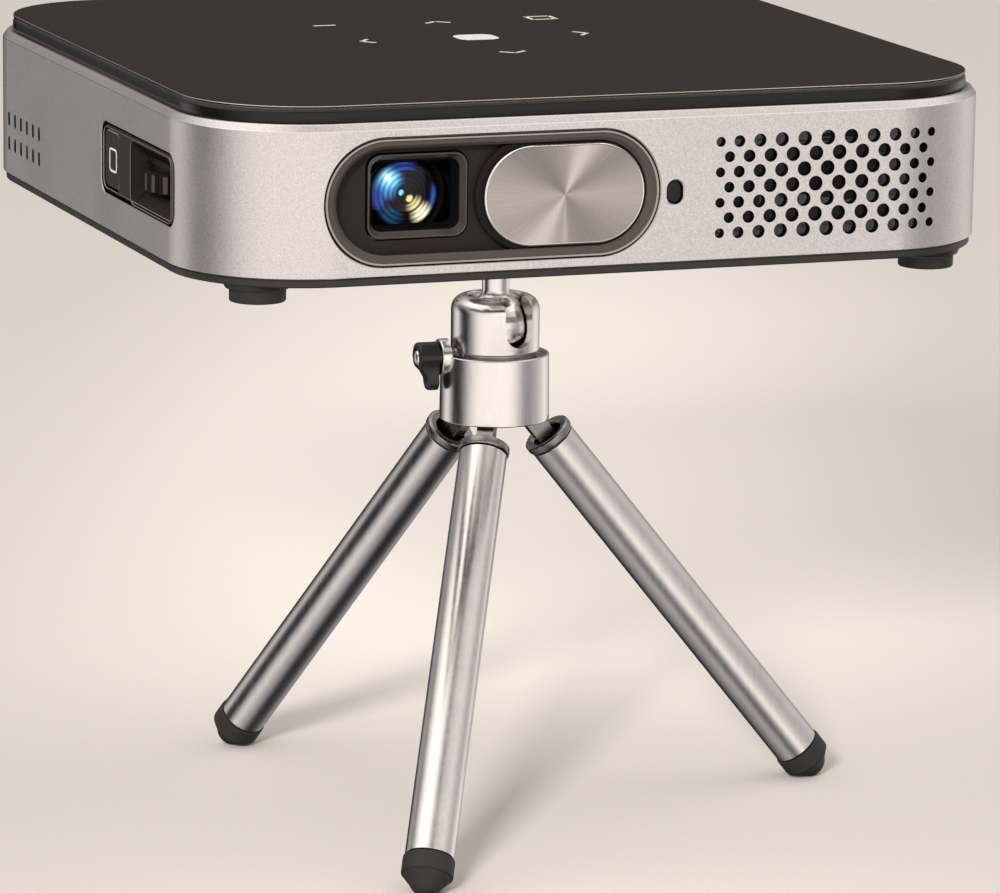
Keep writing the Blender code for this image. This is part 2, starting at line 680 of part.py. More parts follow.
def cooling(datum):
    """A blower that breathes out through the grille, and a finned heat sink beside it."""
    x, y = BLOWER_CENTRE
    low, high = BLOWER_H
    near = (x - BLOWER_HALF, y - BLOWER_HALF, low)
    far = (x + BLOWER_HALF, y + BLOWER_HALF, high)
    case = part(block("blower_housing", near, far), DARK_PLASTIC, datum)
    chamber = rod("fan_chamber", BLOWER_CHAMBER_R, low + BLOWER_FLOOR, high + 1, 28)
    cut(case, tool(chamber, datum, (x, y, 0)))
    outlet_low = (x - BLOWER_OUTLET_HALF, y - BLOWER_HALF - 1, low + BLOWER_FLOOR + 1)
    outlet_high = (x + BLOWER_OUTLET_HALF, y, high - BLOWER_FLOOR)
    cut(case, tool(block("air_outlet", outlet_low, outlet_high), datum))
    hinge = pivot("fan_axis", (x, y, 0), parent=datum)
    outline = []
    for i in range(FAN_BLADES):
        middle = 360 * i / FAN_BLADES
        outline += arc(FAN_HUB_R, middle - 6, middle + 6, 1)[:1]
        outline += arc(FAN_TIP_R, middle + 12, middle + 16, 1)
        outline += arc(FAN_HUB_R, middle - 6, middle + 6, 1)[1:]
    rotor = extruded("fan_rotor", [outline], low + BLOWER_FLOOR + 0.5, high - BLOWER_FLOOR)
    part(rotor, DARK_PLASTIC, hinge)
    part(heat_sink(), ALLOY, datum, turn=FRONT)


def heat_sink():
    """A comb of fins on a plate, drawn across and up and run front to back."""
    plate_low, plate_top, fin_top = SINK_H
    comb = [(SINK_X[1], plate_low), (SINK_X[1], plate_top)]
    for i in reversed(range(SINK_FINS)):
        x = SINK_X[0] + SINK_PITCH * i
        comb += [(x + SINK_FIN, plate_top), (x + SINK_FIN, fin_top), (x, fin_top), (x, plate_top)]
    comb = comb[:-1] + [(SINK_X[0], plate_low)]
    comb = [p for i, p in enumerate(comb) if math.dist(p, comb[i - 1]) > 1e-6]
    return extruded("heat_sink", [comb], -SINK_Y[1], -SINK_Y[0])


def electronics(datum):
    board = part(block("main_board", *MAIN_BOARD_BOX), BOARD_GREEN, datum)
    board_top = MAIN_BOARD_BOX[1][2]
    for x, y, size in MAIN_CHIPS:
        low = (x - size / 2, y - size / 2, board_top - 0.1)
        high = (x + size / 2, y + size / 2, MAIN_CHIP_TOP)
        join(board, tool(block("chip", low, high), datum))
    soften(part(block("battery", *BATTERY_BOX), CELL_BLUE, datum), 1.5)
    low, high = SPEAKER_BOX
    speaker = part(block("speaker", low, high), DARK_PLASTIC, datum)
    wide, narrow = SPEAKER_CONE_R
    horn = rod("speaker_cone", wide, -1, SPEAKER_CONE_DEPTH, 20, narrow)
    mouth = (low[0], (low[1] + high[1]) / 2, (low[2] + high[2]) / 2)
    cut(speaker, tool(horn, datum, mouth, (0, math.radians(90), 0)))


def rear_ports(datum):
    """The rear panel and the four sockets behind it."""
    centre_h = REAR_PANEL_H
    sockets = {
        "dc_jack": (-25.0, (9.0, 9.0), (5.8, 5.8), 12.0),
        "hdmi_port": (-8.0, (16.2, 7.2), (14.4, 5.0), 11.0),
        "usb_port": (13.0, (14.6, 7.6), (12.8, 5.4), 14.0),
        "audio_jack": (27.0, (7.0, 7.0), (3.6, 3.6), 12.0),
    }
    outline = [rounded_rect(*REAR_PANEL_SIZE, 2, (0, centre_h), 4)]
    for name, (x, _, hole, _) in sockets.items():
        radius = hole[1] / 2 - 0.01 if hole[0] == hole[1] else 0.6
        outline.append(rounded_rect(*hole, radius, (x, centre_h), 4 if hole[0] == hole[1] else 2))
    front, back = 72.9, 71.2
    part(extruded("rear_panel", outline, back, front), DARK_PLASTIC, datum, turn=REAR)
    for name, (x, shell, hole, length) in sockets.items():
        low = (x - shell[0] / 2, centre_h - shell[1] / 2, back - GAP - length)
        high = (x + shell[0] / 2, centre_h + shell[1] / 2, back - GAP)
        look = ALLOY if name in ("hdmi_port", "usb_port") else DARK_PLASTIC
        socket = part(block(name, low, high), look, datum, turn=REAR)
        radius = hole[1] / 2 - 0.01 if hole[0] == hole[1] else 0.6
        mouth = rounded_rect(*hole, radius, (x, centre_h), 4 if hole[0] == hole[1] else 2)
        depth = low[2] + 1.5, high[2] + 1
        cut(socket, tool(extruded(f"{name}_mouth", [mouth], *depth), datum, turn=REAR))


# ---------------------------------------------------------------- tripod

def tripod_base(base):
    """The collar, the hinge hub inside it and the three hinge pins."""
    low, high = COLLAR_H
    bore, lower_bore, web = 7.4, 9.1, (-32.5, -31.3)
    collar_profile = [
        (COLLAR_R - 0.4, high),
        (COLLAR_R, high - 0.4),
        (COLLAR_R, low + 0.3),
        (COLLAR_R - 0.3, low),
        (lower_bore, low),
        (lower_bore, web[0]),
        (2.0, web[0]),
        (2.0, web[1]),
        (bore, web[1]),
        (bore, high - 0.9),
        (COLLAR_R - 0.8, high - 0.9),
        (COLLAR_R - 0.8, high),
    ]
    collar = turned_part("tripod_collar", collar_profile, CHROME, base, closed=True, steps=32)
    knob_turn = (0, math.radians(90), math.radians(KNOB_AZIMUTH))
    lug = rod("screw_lug", LUG_R, COLLAR_R - 1.2, LUG_OUT, 20)
    join(collar, tool(lug, base, (0, 0, KNOB_H), knob_turn))
    notch = rod("screw_notch", 1.8, 6.5, 11.5, 12)
    cut(collar, tool(notch, base, (0, 0, KNOB_H), knob_turn))
    hub_top, hub_low, hub_r = web[0] - GAP, -34.3, 8.4
    hub = part(rod("hinge_hub", hub_r, hub_low, hub_top, 24), DARK_STEEL, base)
    ear_r, pin_r, ear_in, ear_out = 2.0, 0.8, 1.8, 2.8
    for name, azimuth in LEG_AZIMUTHS.items():
        turn = (0, 0, math.radians(azimuth))
        spoke = pivot(f"hinge_{name}", (0, 0, 0), turn, base)
        ear_top = hub_low + 0.4 - PIVOT_H
        ear = [(-ear_r, ear_top), *arc(ear_r, 180, 360, 6), (ear_r, ear_top)]
        for side in (-1, 1):
            near, far = sorted((side * ear_in, side * ear_out))
            join(hub, tool(extruded("ear", [ear], near, far), spoke, (PIVOT_R, 0, PIVOT_H), FRONT))
        hole = rod("pin_hole", pin_r + GAP, -ear_out - 1, ear_out + 1, 10)
        cut(hub, tool(hole, spoke, (PIVOT_R, 0, PIVOT_H), FRONT))
        pin = rod(f"hinge_pin_{name}", pin_r, -ear_out, ear_out, 10)
        part(pin, CHROME, spoke, (PIVOT_R, 0, PIVOT_H), FRONT)
        leg(name, spoke)


def leg(name, spoke):
    """One leg, drawn hanging straight down from its hinge and then swung out to the spread."""
    hinge = pivot(f"leg_{name}_axis", (PIVOT_R, 0, PIVOT_H), (0, -LEG_SPREAD, 0), spoke)
    eye_r, inner, outer, half_thick, tab_end = 1.85, -2.2, 1.2, 1.5, -16.0
    outline = [*arc(eye_r, -30, 200, 9), (inner, -2.6), (inner, tab_end), (outer, tab_end), (outer, -2.6)]
    hole = arc(0.8 + GAP, 0, 360, 10)[:-1]
    tab = part(
        extruded(f"leg_{name}_hinge", [outline, hole], -half_thick, half_thick), DARK_STEEL, hinge, turn=FRONT
    )
    join(tab, tool(rod("tab_plug", TUBE_BORE_R - GAP, tab_end - 0.5, tab_end + 3.5, 16), hinge))
    spigot_r, ring_bore = TUBE_BORE_R - GAP, 2.9
    ring = [
        (RING_R - 0.2, -RING_START),
        (RING_R, -RING_START - 0.2),
        (RING_R, -RING_END),
        (spigot_r, -RING_END),
        (spigot_r, -RING_END - 2.4),
        (ring_bore, -RING_END - 2.4),
        (ring_bore, -RING_START),
    ]
    turned_part(f"leg_{name}_ring", ring, DARK_STEEL, hinge, closed=True, steps=20)
    tube_top, tube_low = -RING_END - GAP, -LEG_LEN + GAP
    tube = [(TUBE_R, tube_top), (TUBE_R, tube_low), (TUBE_BORE_R, tube_low), (TUBE_BORE_R, tube_top)]
    turned_part(f"leg_{name}_tube", tube, CHROME, hinge, closed=True, steps=20)
    end_centre = -(LEG_LEN + TIP_LEN - TIP_R)
    flange_end = -LEG_LEN - 3.3
    tip = [
        (0, tube_low + 4.5),
        (spigot_r, tube_low + 4.5),
        (spigot_r, -LEG_LEN),
        (RING_R - 0.05, -LEG_LEN),
        (RING_R - 0.05, flange_end),
        (TIP_R + 0.55, flange_end - 0.1),
        (TIP_R + 0.35, end_centre - 0.6),
    ]
    tip += [(r, z + end_centre) for r, z in arc(TIP_R, -22, -90, 4)]
    tip[-1] = (0, tip[-1][1])
    foot = turned_part(f"leg_{name}_foot", tip, RUBBER, hinge, steps=20)
    floor = block("floor", (-100, -100, -20), (100, 100, 0))
    cut(foot, tool(floor, None))


def ball_cup(head):
    """The slotted cup that grips the ball and turns in the collar."""
    low, high = CUP_H
    spigot_r, spigot_low = 7.1, -31.0
    socket_start = math.degrees(math.acos(SOCKET_MOUTH_R / SOCKET_R))
    shoulder = (CUP_R - CUP_FILLET, high - CUP_FILLET)
    profile = list(reversed(arc(CUP_FILLET, 0, 90, 3, shoulder)))
    profile += [
        (CUP_R, low + 0.3),
        (CUP_R - 0.3, low),
        (spigot_r, low),
        (spigot_r, spigot_low),
        (SOCKET_R, spigot_low),
    ]
    profile += arc(SOCKET_R, 0, socket_start, 5, (0, BALL_H))
    profile += [(SOCKET_MOUTH_R, high - 0.35), (SOCKET_MOUTH_R + 0.35, high)]
    cup = turned_part("ball_cup", profile, CHROME, head, closed=True, steps=32)
    turn = (0, math.radians(90), math.radians(SLOT_AZIMUTH))
    cut(cup, tool(rod("slot_end", SLOT_WIDTH / 2, 0.5, 10, 16), head, (0, 0, BALL_H), turn))
    slot = block("slot", (0.5, -SLOT_WIDTH / 2, BALL_H), (10, SLOT_WIDTH / 2, high + 1))
    cut(cup, tool(slot, head, turn=(0, 0, math.radians(SLOT_AZIMUTH))))


def ball_stem(head):
    """The ball with its neck and platform, the pad on it and the camera screw."""
    hinge = pivot("ball_centre", (0, 0, BALL_H), parent=head)
    platform_top, platform_low = -4.0, -6.4
    neck_angle = math.degrees(math.acos(NECK_R / BALL_R))
    profile = [
        (0, platform_top),
        (PLATFORM_R - 0.4, platform_top),
        (PLATFORM_R, platform_top - 0.4),
        (PLATFORM_R, platform_low + 0.4),
        (PLATFORM_R - 0.4, platform_low),
        (4.2, platform_low - 0.2),
        (NECK_R, platform_low - 2.0),
    ]
    profile += arc(BALL_R, neck_angle, -90, 9, (0, BALL_H))
    profile[-1] = (0, BALL_H - BALL_R)
    profile = [(r, z - BALL_H) for r, z in profile]
    turned_part("ball_stem", profile, CHROME, hinge)
    pad_top, pad_low, hole_r, pad_r = COVER_LOW_H - GAP, platform_top + GAP, 3.4, 10.6
    pad = [(pad_r, pad_top), (pad_r, pad_low), (hole_r, pad_low), (hole_r, pad_top)]
    turned_part("platform_pad", [(r, z - BALL_H) for r, z in pad], RUBBER, hinge, closed=True)
    screw_r, screw_top = 3.1, 3.9
    point = 0.6
    screw = [(0, screw_top), (screw_r - point, screw_top), (screw_r, screw_top - point)]
    screw += [(screw_r, pad_low), (0, pad_low)]
    turned_part("camera_screw", [(r, z - BALL_H) for r, z in screw], CHROME, hinge, steps=16)


def clamp_knob(base):
    """The lever knob and its screw, which bear on the cup through a notch in the collar."""
    turn = (0, math.radians(90), math.radians(KNOB_AZIMUTH))
    hinge = pivot("clamp_axis", (0, 0, KNOB_H), turn, base)
    hub_r, inner, outer = 2.8, LUG_OUT + GAP, 14.7
    screw_r, tip, end = 1.4, 8.3, 15.1
    hub = part(rod("clamp_knob", hub_r, inner, outer, 20), DARK_PLASTIC, hinge)
    lever = [*arc(2.5, 90, 270, 6, (0, 0)), *arc(2.1, -90, 90, 6, (3.8, 0))]
    join(hub, tool(extruded("lever", [lever], inner, outer - 1.9), hinge))
    cut(hub, tool(rod("screw_bore", screw_r + GAP, inner - 1, outer + 1, 12), hinge))
    screw = [
        (0, end),
        (screw_r, end),
        (screw_r, tip + 0.4),
        (screw_r - 0.4, tip),
        (0, tip),
    ]
    turned_part("clamp_screw", screw, CHROME, hinge, steps=16)


# ---------------------------------------------------------------- the whole object

def shade_round_pieces():
    for obj in PARTS.objects:
        if obj.type == "MESH":
            obj.data.shade_smooth()
            obj.data.set_sharp_from_angle(angle=math.radians(35))


def build():
    base = pivot("tripod_axis", (0, TRIPOD_Y, BAND_Z))
    tripod_base(base)
    clamp_knob(base)
    head = pivot("head_pan_axis", (0, 0, 0), parent=base)
    ball_cup(head)
    ball_stem(head)
    swivel = pivot("projector_swivel_axis", (0, 0, 0), parent=head)
    datum = pivot("projector_datum", (0, -TRIPOD_Y, 0), parent=swivel)
    side_band(datum)
    lid(datum)
    bottom(datum)
    lens_front(datum)
    sliding_cover(datum)
    focus_barrel(datum)
    optics(datum)
    control_panel(datum)
    power_button(datum)
    focus_wheel(datum)
    cooling(datum)
    electronics(datum)
    rear_ports(datum)
    shade_round_pieces()


build()
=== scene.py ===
"""The home projector's looks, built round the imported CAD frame.

Lengths in this file are millimetres, and h is the height above the lower edge of the metal side
band. MM and BAND_Z turn them into the frame's metres.
"""

import json
import math

import bmesh
import bpy
from mathutils import Matrix, Vector


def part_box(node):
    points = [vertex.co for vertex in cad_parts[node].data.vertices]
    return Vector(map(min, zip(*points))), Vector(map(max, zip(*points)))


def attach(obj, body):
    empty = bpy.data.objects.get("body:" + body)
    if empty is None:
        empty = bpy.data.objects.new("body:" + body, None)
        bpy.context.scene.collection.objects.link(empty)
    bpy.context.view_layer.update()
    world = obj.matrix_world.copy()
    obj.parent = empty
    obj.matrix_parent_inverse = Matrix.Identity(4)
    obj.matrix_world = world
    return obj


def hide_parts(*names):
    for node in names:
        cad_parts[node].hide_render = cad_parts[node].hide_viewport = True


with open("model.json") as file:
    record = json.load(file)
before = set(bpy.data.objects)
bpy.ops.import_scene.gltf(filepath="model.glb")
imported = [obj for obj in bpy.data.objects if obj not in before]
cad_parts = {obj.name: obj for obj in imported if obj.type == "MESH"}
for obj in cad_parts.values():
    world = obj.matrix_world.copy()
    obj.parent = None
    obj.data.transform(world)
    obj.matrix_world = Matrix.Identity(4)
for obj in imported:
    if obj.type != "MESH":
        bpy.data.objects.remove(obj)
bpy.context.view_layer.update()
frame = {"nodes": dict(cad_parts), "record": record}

MM = 0.001
BAND_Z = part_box("side_shell")[0].z
AXIS_Y = (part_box("platform_pad")[0].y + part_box("platform_pad")[1].y) / 2 / MM
CUP_TOP = (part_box("ball_cup")[1].z - BAND_Z) / MM
BODY = 146.0
HALF = BODY / 2
CORNER = 23.0


# ---- shader nodes

def srgb(red, green, blue):
    """A colour given as 0 to 255 on screen, as linear values."""
    shares = [value / 255 for value in (red, green, blue)]
    return tuple(((c + 0.055) / 1.055) ** 2.4 if c > 0.04 else c / 12.92 for c in shares)


def node(tree, kind, out=0, **values):
    """A new shader node. Each value goes to an input, by name or number, or to a setting."""
    made = tree.nodes.new("ShaderNode" + kind)
    for key, value in values.items():
        if key[0] == "_":
            socket = made.inputs[int(key[1:])]
        elif key in made.inputs:
            socket = made.inputs[key]
        else:
            setattr(made, key, value)
            continue
        if isinstance(value, bpy.types.NodeSocket):
            tree.links.new(value, socket)
        else:
            socket.default_value = value
    return made.outputs[out]


def math_node(tree, operation, *values):
    inputs = {f"_{i}": value for i, value in enumerate(values)}
    return node(tree, "Math", operation=operation, **inputs)


def times(tree, a, b):
    return math_node(tree, "MULTIPLY", a, b)


def vector_node(tree, operation, *values, out=0):
    inputs = {f"_{i}": value for i, value in enumerate(values)}
    return node(tree, "VectorMath", out, operation=operation, **inputs)


def blend(tree, factor, a, b):
    return node(tree, "Mix", 2, data_type="RGBA", _0=factor, _6=a, _7=b)


def scaled(tree, vector, share):
    return node(tree, "VectorMath", operation="SCALE", _0=vector, Scale=share)


def spread(tree, value, low, high, to_low, to_high, curve="LINEAR"):
    """A value moved from one range to another."""
    ends = {"_1": low, "_2": high, "_3": to_low, "_4": to_high}
    return node(tree, "MapRange", interpolation_type=curve, Value=value, **ends)


def swell(tree, near, sharpness):
    """A soft bump that is 1 where near is 1, and narrower the larger its sharpness."""
    return math_node(tree, "EXPONENT", math_node(tree, "MULTIPLY_ADD", near, sharpness, -sharpness))


def feed(shader, name, value):
    shader.id_data.links.new(value, shader.inputs[name])


def start(name, rgb, roughness, metallic=0.0, specular=0.5, anisotropic=0.0):
    """A new material with its plain values. Gives the material, its node tree and its shader."""
    made = bpy.data.materials.new(name)
    made.use_nodes = True
    made.diffuse_color = (*srgb(*rgb), 1.0)
    shader = made.node_tree.nodes["Principled BSDF"]
    values = {
        "Base Color": made.diffuse_color,
        "Roughness": roughness,
        "Metallic": metallic,
        "Specular IOR Level": specular,
        "Anisotropic": anisotropic,
    }
    for key, value in values.items():
        shader.inputs[key].default_value = value
    return made, made.node_tree, shader


# ---- materials

GRAIN = (2500, 0.1, 0.03)
MOTTLE = (60, 0.06)
EVEN = (1, 1, 1)


def surface(name, rgb, roughness, metallic=0.0, grain=GRAIN, mottle=MOTTLE, stretch=EVEN, specular=0.5):
    """A finish with grain (scale, change in colour, bump) and soft mottling (scale, change).

    Both vary the roughness too, and stretch draws the grain out into brush lines.
    """
    made, tree, shader = start(name, rgb, roughness, metallic, specular)
    grain_scale, grain_change, grain_bump = grain
    mottle_scale, mottle_change = mottle
    at = node(tree, "TexCoord", 3)
    drawn_out = node(tree, "Mapping", Vector=at, Scale=stretch)
    fine = node(tree, "TexNoise", Vector=drawn_out, Scale=grain_scale, Detail=3.0, Roughness=0.6)
    soft = node(tree, "TexNoise", Vector=at, Scale=mottle_scale, Detail=4.0)

    def varied(middle, grain_share, mottle_share):
        low, high = middle * (1 - grain_share), middle * (1 + grain_share)
        grain_part = spread(tree, fine, 0.25, 0.75, low, high)
        mottle_part = spread(tree, soft, 0.25, 0.75, 1 - mottle_share, 1 + mottle_share)
        return times(tree, grain_part, mottle_part)

    tone = varied(1, grain_change, mottle_change)
    feed(shader, "Base Color", scaled(tree, srgb(*rgb), tone))
    feed(shader, "Roughness", varied(roughness, 0.14, 0.08))
    bump = node(tree, "Bump", Strength=1.0, Distance=grain_bump * MM, Height=fine)
    feed(shader, "Normal", bump)
    return made


SHELL = surface("bead_blasted", (203, 197, 195), 0.34, 0.9, (4200, 0.24, 0.016), (45, 0.03))
# Metal for edges, smoother and lighter than the shell, which also paints bright highlight lines along them.
RIM_HIGHLIGHT = surface("polished_rim_highlight", (240, 236, 232), 0.16, 1.0, (2200, 0.05, 0.001), (90, 0.04))
EDGE = surface("soft_rim", (196, 190, 185), 0.3, 0.95, (3000, 0.12, 0.004), (90, 0.04))
# Painted shade: a near black finish without reflection for the walls of holes, gaps and recesses and for
# parts deep inside.
HOLE_SHADE = surface("painted_hole_shade", (13, 12, 11), 0.7, 0.0, (2500, 0.2, 0.01), specular=0.0)
LID = surface("lid_satin", (28, 20, 16), 0.38, 0.0, (2600, 0.16, 0.006), (30, 0.05), specular=0.085)
# A light metallic colour for the top plate's rounded edges: painted highlight lines.
LID_EDGE_HIGHLIGHT = surface("lid_edge_highlight", (196, 188, 180), 0.22, 0.9, (2200, 0.06, 0.001))
GLOSS = surface("lid_gloss", (15, 13, 12), 0.16, 0.0, (1500, 0.1, 0.0006), (50, 0.05), specular=0.26)
BASE = surface("base_satin", (34, 30, 28), 0.45, 0.0, (2600, 0.14, 0.01), specular=0.4)
RUBBER = surface("black_rubber", (34, 31, 30), 0.6, 0.0, (3200, 0.2, 0.03), (120, 0.12), specular=0.35)
BEZEL = surface("bezel_satin", (66, 60, 57), 0.34, 0.3, (3000, 0.1, 0.006), specular=0.3)
PANEL = surface("panel_dark", (24, 21, 19), 0.4, 0.0, (2600, 0.14, 0.006), (70, 0.08), specular=0.06)
BOARD = surface("lens_board_dark", (33, 28, 25), 0.4, 0.0, (2600, 0.14, 0.006), (70, 0.08), specular=0.1)
CONTROL = surface("control_satin", (33, 29, 27), 0.45, 0.0, (2800, 0.14, 0.012), (70, 0.08), specular=0.22)
# A light colour for thin lines along edges: painted highlight lines.
TRIM_HIGHLIGHT = surface("edge_highlight_line", (150, 143, 138), 0.32, 0.7, (2000, 0.06, 0.001))
CHROME = surface("satin_chrome", (224, 219, 215), 0.22, 1.0, (1400, 0.05, 0.0012), (120, 0.04), (1, 1, 0.12))
TUBE = surface("tube_chrome", (222, 217, 213), 0.22, 1.0, (1500, 0.05, 0.0004), (110, 0.05), (1, 1, 0.1))
STEEL = surface("dark_steel", (140, 136, 134), 0.26, 1.0, (2400, 0.05, 0.001), (90, 0.04))
BLACK = surface("black_moulding", (38, 34, 32), 0.36, 0.0, (3000, 0.16, 0.012), (90, 0.1), specular=0.4)
PRINT = surface("print_white", (214, 209, 203), 0.4, 0.1, (2500, 0.05, 0.001))
ALLOY = surface("cast_alloy", (176, 176, 178), 0.42, 1.0, (1500, 0.1, 0.02))
BRASS = surface("turned_brass", (196, 160, 92), 0.28, 1.0, (1800, 0.06, 0.003), (80, 0.06), (1, 1, 8))
MASK = surface("board_mask", (24, 84, 52), 0.35, 0.0, (1400, 0.2, 0.01), (200, 0.2))
WRAP = surface("cell_wrap", (44, 62, 104), 0.4, 0.0, (900, 0.06, 0.01))
GOLD = surface("contact_gold", (214, 176, 98), 0.25, 1.0, (2000, 0.05, 0.001))

# The finish of each slot whose CAD nodes still show
SLOT_FINISH = {
    "alloy": ALLOY,
    "brass": BRASS,
    "board_green": MASK,
    "cell_wrap": WRAP,
    "inner_plastic": BLACK,
    "lens_glass": GLOSS,
    "satin_chrome": CHROME,
    "hinge_steel": STEEL,
}
INNER_SLOTS = ("alloy", "board_green", "cell_wrap", "inner_plastic")
BEHIND_LENS = ("barrel_housing", "optical_engine", "heat_sink")


def dress_frame():
    """Gives each CAD node that still shows the finish of its material slot.

    The pieces inside the case stay out of mirror images, as the tray under them does, and those
    behind the lens get painted shade, a near black finish, because they show round it.
    """
    for entry in frame["record"]["subparts"]:
        name, slot_name = entry["node"], entry["material_slot"]
        if slot_name not in SLOT_FINISH:
            continue
        shown = frame["nodes"][name]
        shown.visible_glossy = slot_name not in INNER_SLOTS
        finish = HOLE_SHADE if name in BEHIND_LENS else SLOT_FINISH[slot_name]
        if not shown.data.materials:
            shown.data.materials.append(finish)
        for i in range(len(shown.data.materials)):
            shown.data.materials[i] = finish


# Painted sheen on the turned disc, bright and dark sectors painted into its colour: direction in degrees,
# sharpness and strength
DISC_PAINTED_SHEEN = [
    (66, 26, 0.78),
    (-120, 24, 0.72),
    (-90, 260, 0.38),
    (180, 14, 0.20),
    (0, 14, 0.20),
    (130, 9, -0.28),
    (33, 14, -0.24),
    (-62, 9, -0.20),
]


def brushed_disc_painted_sheen(centre):
    """Metal turned on a lathe, with fine rings about the centre, and sectors of painted sheen: a painted
    reflection that makes its colour lighter in some directions and darker in others.
    """
    rgb = (162, 155, 150)
    made, tree, shader = start("cover_brushed_painted_sheen", rgb, 0.3, 1.0, anisotropic=0.7)
    at = node(tree, "TexCoord", 3)
    local = vector_node(tree, "SUBTRACT", at, centre)
    parts = tree.nodes.new("ShaderNodeSeparateXYZ")
    tree.links.new(local, parts.inputs[0])
    angle = math_node(tree, "ARCTAN2", parts.outputs["Z"], parts.outputs["X"])
    radius = vector_node(tree, "LENGTH", local, out=1)
    around = times(tree, radius, 6000.0)
    rings = node(tree, "TexNoise", noise_dimensions="1D", W=around, Scale=1.0, Detail=2.0)
    across = times(tree, angle, 22.0)
    rays = node(tree, "TexNoise", noise_dimensions="1D", W=across, Scale=1.0, Detail=3.0)
    painted_sheen = 1.0
    # Painted sheen: some sectors lighten the base colour and some darken it, in place of the turned metal's
    # reflection.
    for direction, sharpness, strength in DISC_PAINTED_SHEEN:
        near = math_node(tree, "COSINE", math_node(tree, "SUBTRACT", angle, math.radians(direction)))
        painted_sheen = math_node(tree, "MULTIPLY_ADD", swell(tree, near, sharpness), strength, painted_sheen)
    lines = times(
        tree,
        spread(tree, rings, 0.3, 0.7, 0.93, 1.07),
        spread(tree, rays, 0.3, 0.7, 0.95, 1.05),
    )
    tone = times(tree, painted_sheen, lines)
    feed(shader, "Base Color", scaled(tree, srgb(*rgb), tone))
    feed(shader, "Roughness", spread(tree, rings, 0.3, 0.7, 0.26, 0.36))
    bump = node(tree, "Bump", Strength=1.0, Distance=0.001 * MM, Height=rings)
    feed(shader, "Normal", bump)
    tangent = vector_node(tree, "CROSS_PRODUCT", local, (0.0, 1.0, 0.0))
    feed(shader, "Tangent", tangent)
    return made


# Painted reflections of the lens coatings, painted into its colour, in shares of the lens radius:
# middle, size, softness, the ring that keeps each in (inner edge, outer edge, softness) and colour
PAINTED_LENS_GLINTS = [
    ((-0.62, 0.40), 0.66, 0.42, (0.36, 0.97, 0.08), (52, 112, 172)),
    ((-0.92, -0.10), 0.50, 0.34, (0.72, 0.98, 0.06), (38, 62, 146)),
    ((-0.50, 0.48), 0.40, 0.36, (0.40, 0.95, 0.08), (112, 204, 220)),
    ((-0.54, 0.50), 0.17, 0.15, None, (236, 250, 248)),
    ((-0.05, 0.84), 0.50, 0.40, (0.74, 0.97, 0.06), (34, 66, 150)),
    ((0.92, -0.16), 0.50, 0.40, (0.82, 0.99, 0.05), (40, 70, 136)),
    ((0.52, -0.60), 0.44, 0.40, (0.62, 0.95, 0.08), (238, 236, 200)),
    ((0.30, -0.34), 0.36, 0.30, (0.34, 0.50, 0.06), (190, 180, 122)),
    ((-0.46, -0.66), 0.50, 0.40, (0.60, 0.95, 0.08), (22, 56, 84)),
    ((-0.15, 0.06), 0.11, 0.06, None, (84, 184, 206)),
    ((0.11, -0.13), 0.14, 0.09, None, (250, 216, 134)),
    ((0.0, 0.02), 0.08, 0.03, None, (6, 6, 8)),
]


def lens_glass_painted_reflections(centre, radius):
    """The lens: dark glass with painted rings, painted cyan, blue and yellow reflections of its coatings and
    painted shade at its rim. The painted colour also glows by emission.
    """
    made, tree, shader = start("lens_painted_reflections", (14, 13, 18), 0.05, specular=0.2)
    at = node(tree, "TexCoord", 3)
    local = vector_node(tree, "SUBTRACT", at, centre)
    share = (1 / radius, 0.0, 1 / radius)
    face_on = vector_node(tree, "MULTIPLY", local, share)
    reach = vector_node(tree, "LENGTH", face_on, out=1)
    colour = (*srgb(14, 13, 17), 1.0)
    for (x, z), size, softness, ring, rgb in PAINTED_LENS_GLINTS:
        gap = vector_node(tree, "DISTANCE", face_on, (x, 0.0, z), out=1)
        painted_glint = spread(tree, gap, size, size - softness, 0.0, 1.0, "SMOOTHSTEP")
        if ring:
            low, high, soft = ring
            inner = spread(tree, reach, low - soft, low, 0.0, 1.0, "SMOOTHSTEP")
            outer = spread(tree, reach, high, high + soft, 1.0, 0.0, "SMOOTHSTEP")
            painted_glint = times(tree, painted_glint, times(tree, inner, outer))
        colour = blend(tree, painted_glint, colour, (*srgb(*rgb), 1.0))
    # Painted rings across the glass and painted shade towards its rim.
    painted_rings = math_node(tree, "SINE", times(tree, reach, 44.0))
    shade = times(
        tree,
        spread(tree, painted_rings, -1.0, 1.0, 0.42, 1.02),
        spread(tree, reach, 0.97, 1.0, 1.0, 0.1),
    )
    shaded = scaled(tree, colour, shade)
    # The painted light goes to the emission too, so the lens glows.
    feed(shader, "Base Color", shaded)
    feed(shader, "Emission Color", shaded)
    shader.inputs["Emission Strength"].default_value = 0.72
    return made


# ---- outlines and profiles

def outline(width, depth, radius, centre=(0.0, 0.0), steps=24):
    """Points round a rounded rectangle, anticlockwise. Every size has the same number of points."""
    points = []
    for corner, (sx, sy) in enumerate(((1, 1), (-1, 1), (-1, -1), (1, -1))):
        cx = centre[0] + sx * (width / 2 - radius)
        cy = centre[1] + sy * (depth / 2 - radius)
        for i in range(steps + 1):
            angle = math.radians(90 * (corner + i / steps))
            points.append((cx + radius * math.cos(angle), cy + radius * math.sin(angle)))
    return points


# A shape is a function that gives an outline moved inwards by any distance.

def inset_shape(width, depth, radius, centre=(0.0, 0.0), steps=24):
    def at(inset):
        return outline(width - 2 * inset, depth - 2 * inset, max(radius - inset, 0.05), centre, steps)

    return at


def stadium(width, depth, centre=(0.0, 0.0), steps=32):
    """A shape with two half-round ends, lying or standing."""
    return inset_shape(width, depth, min(width, depth) / 2 - 0.001, centre, steps)


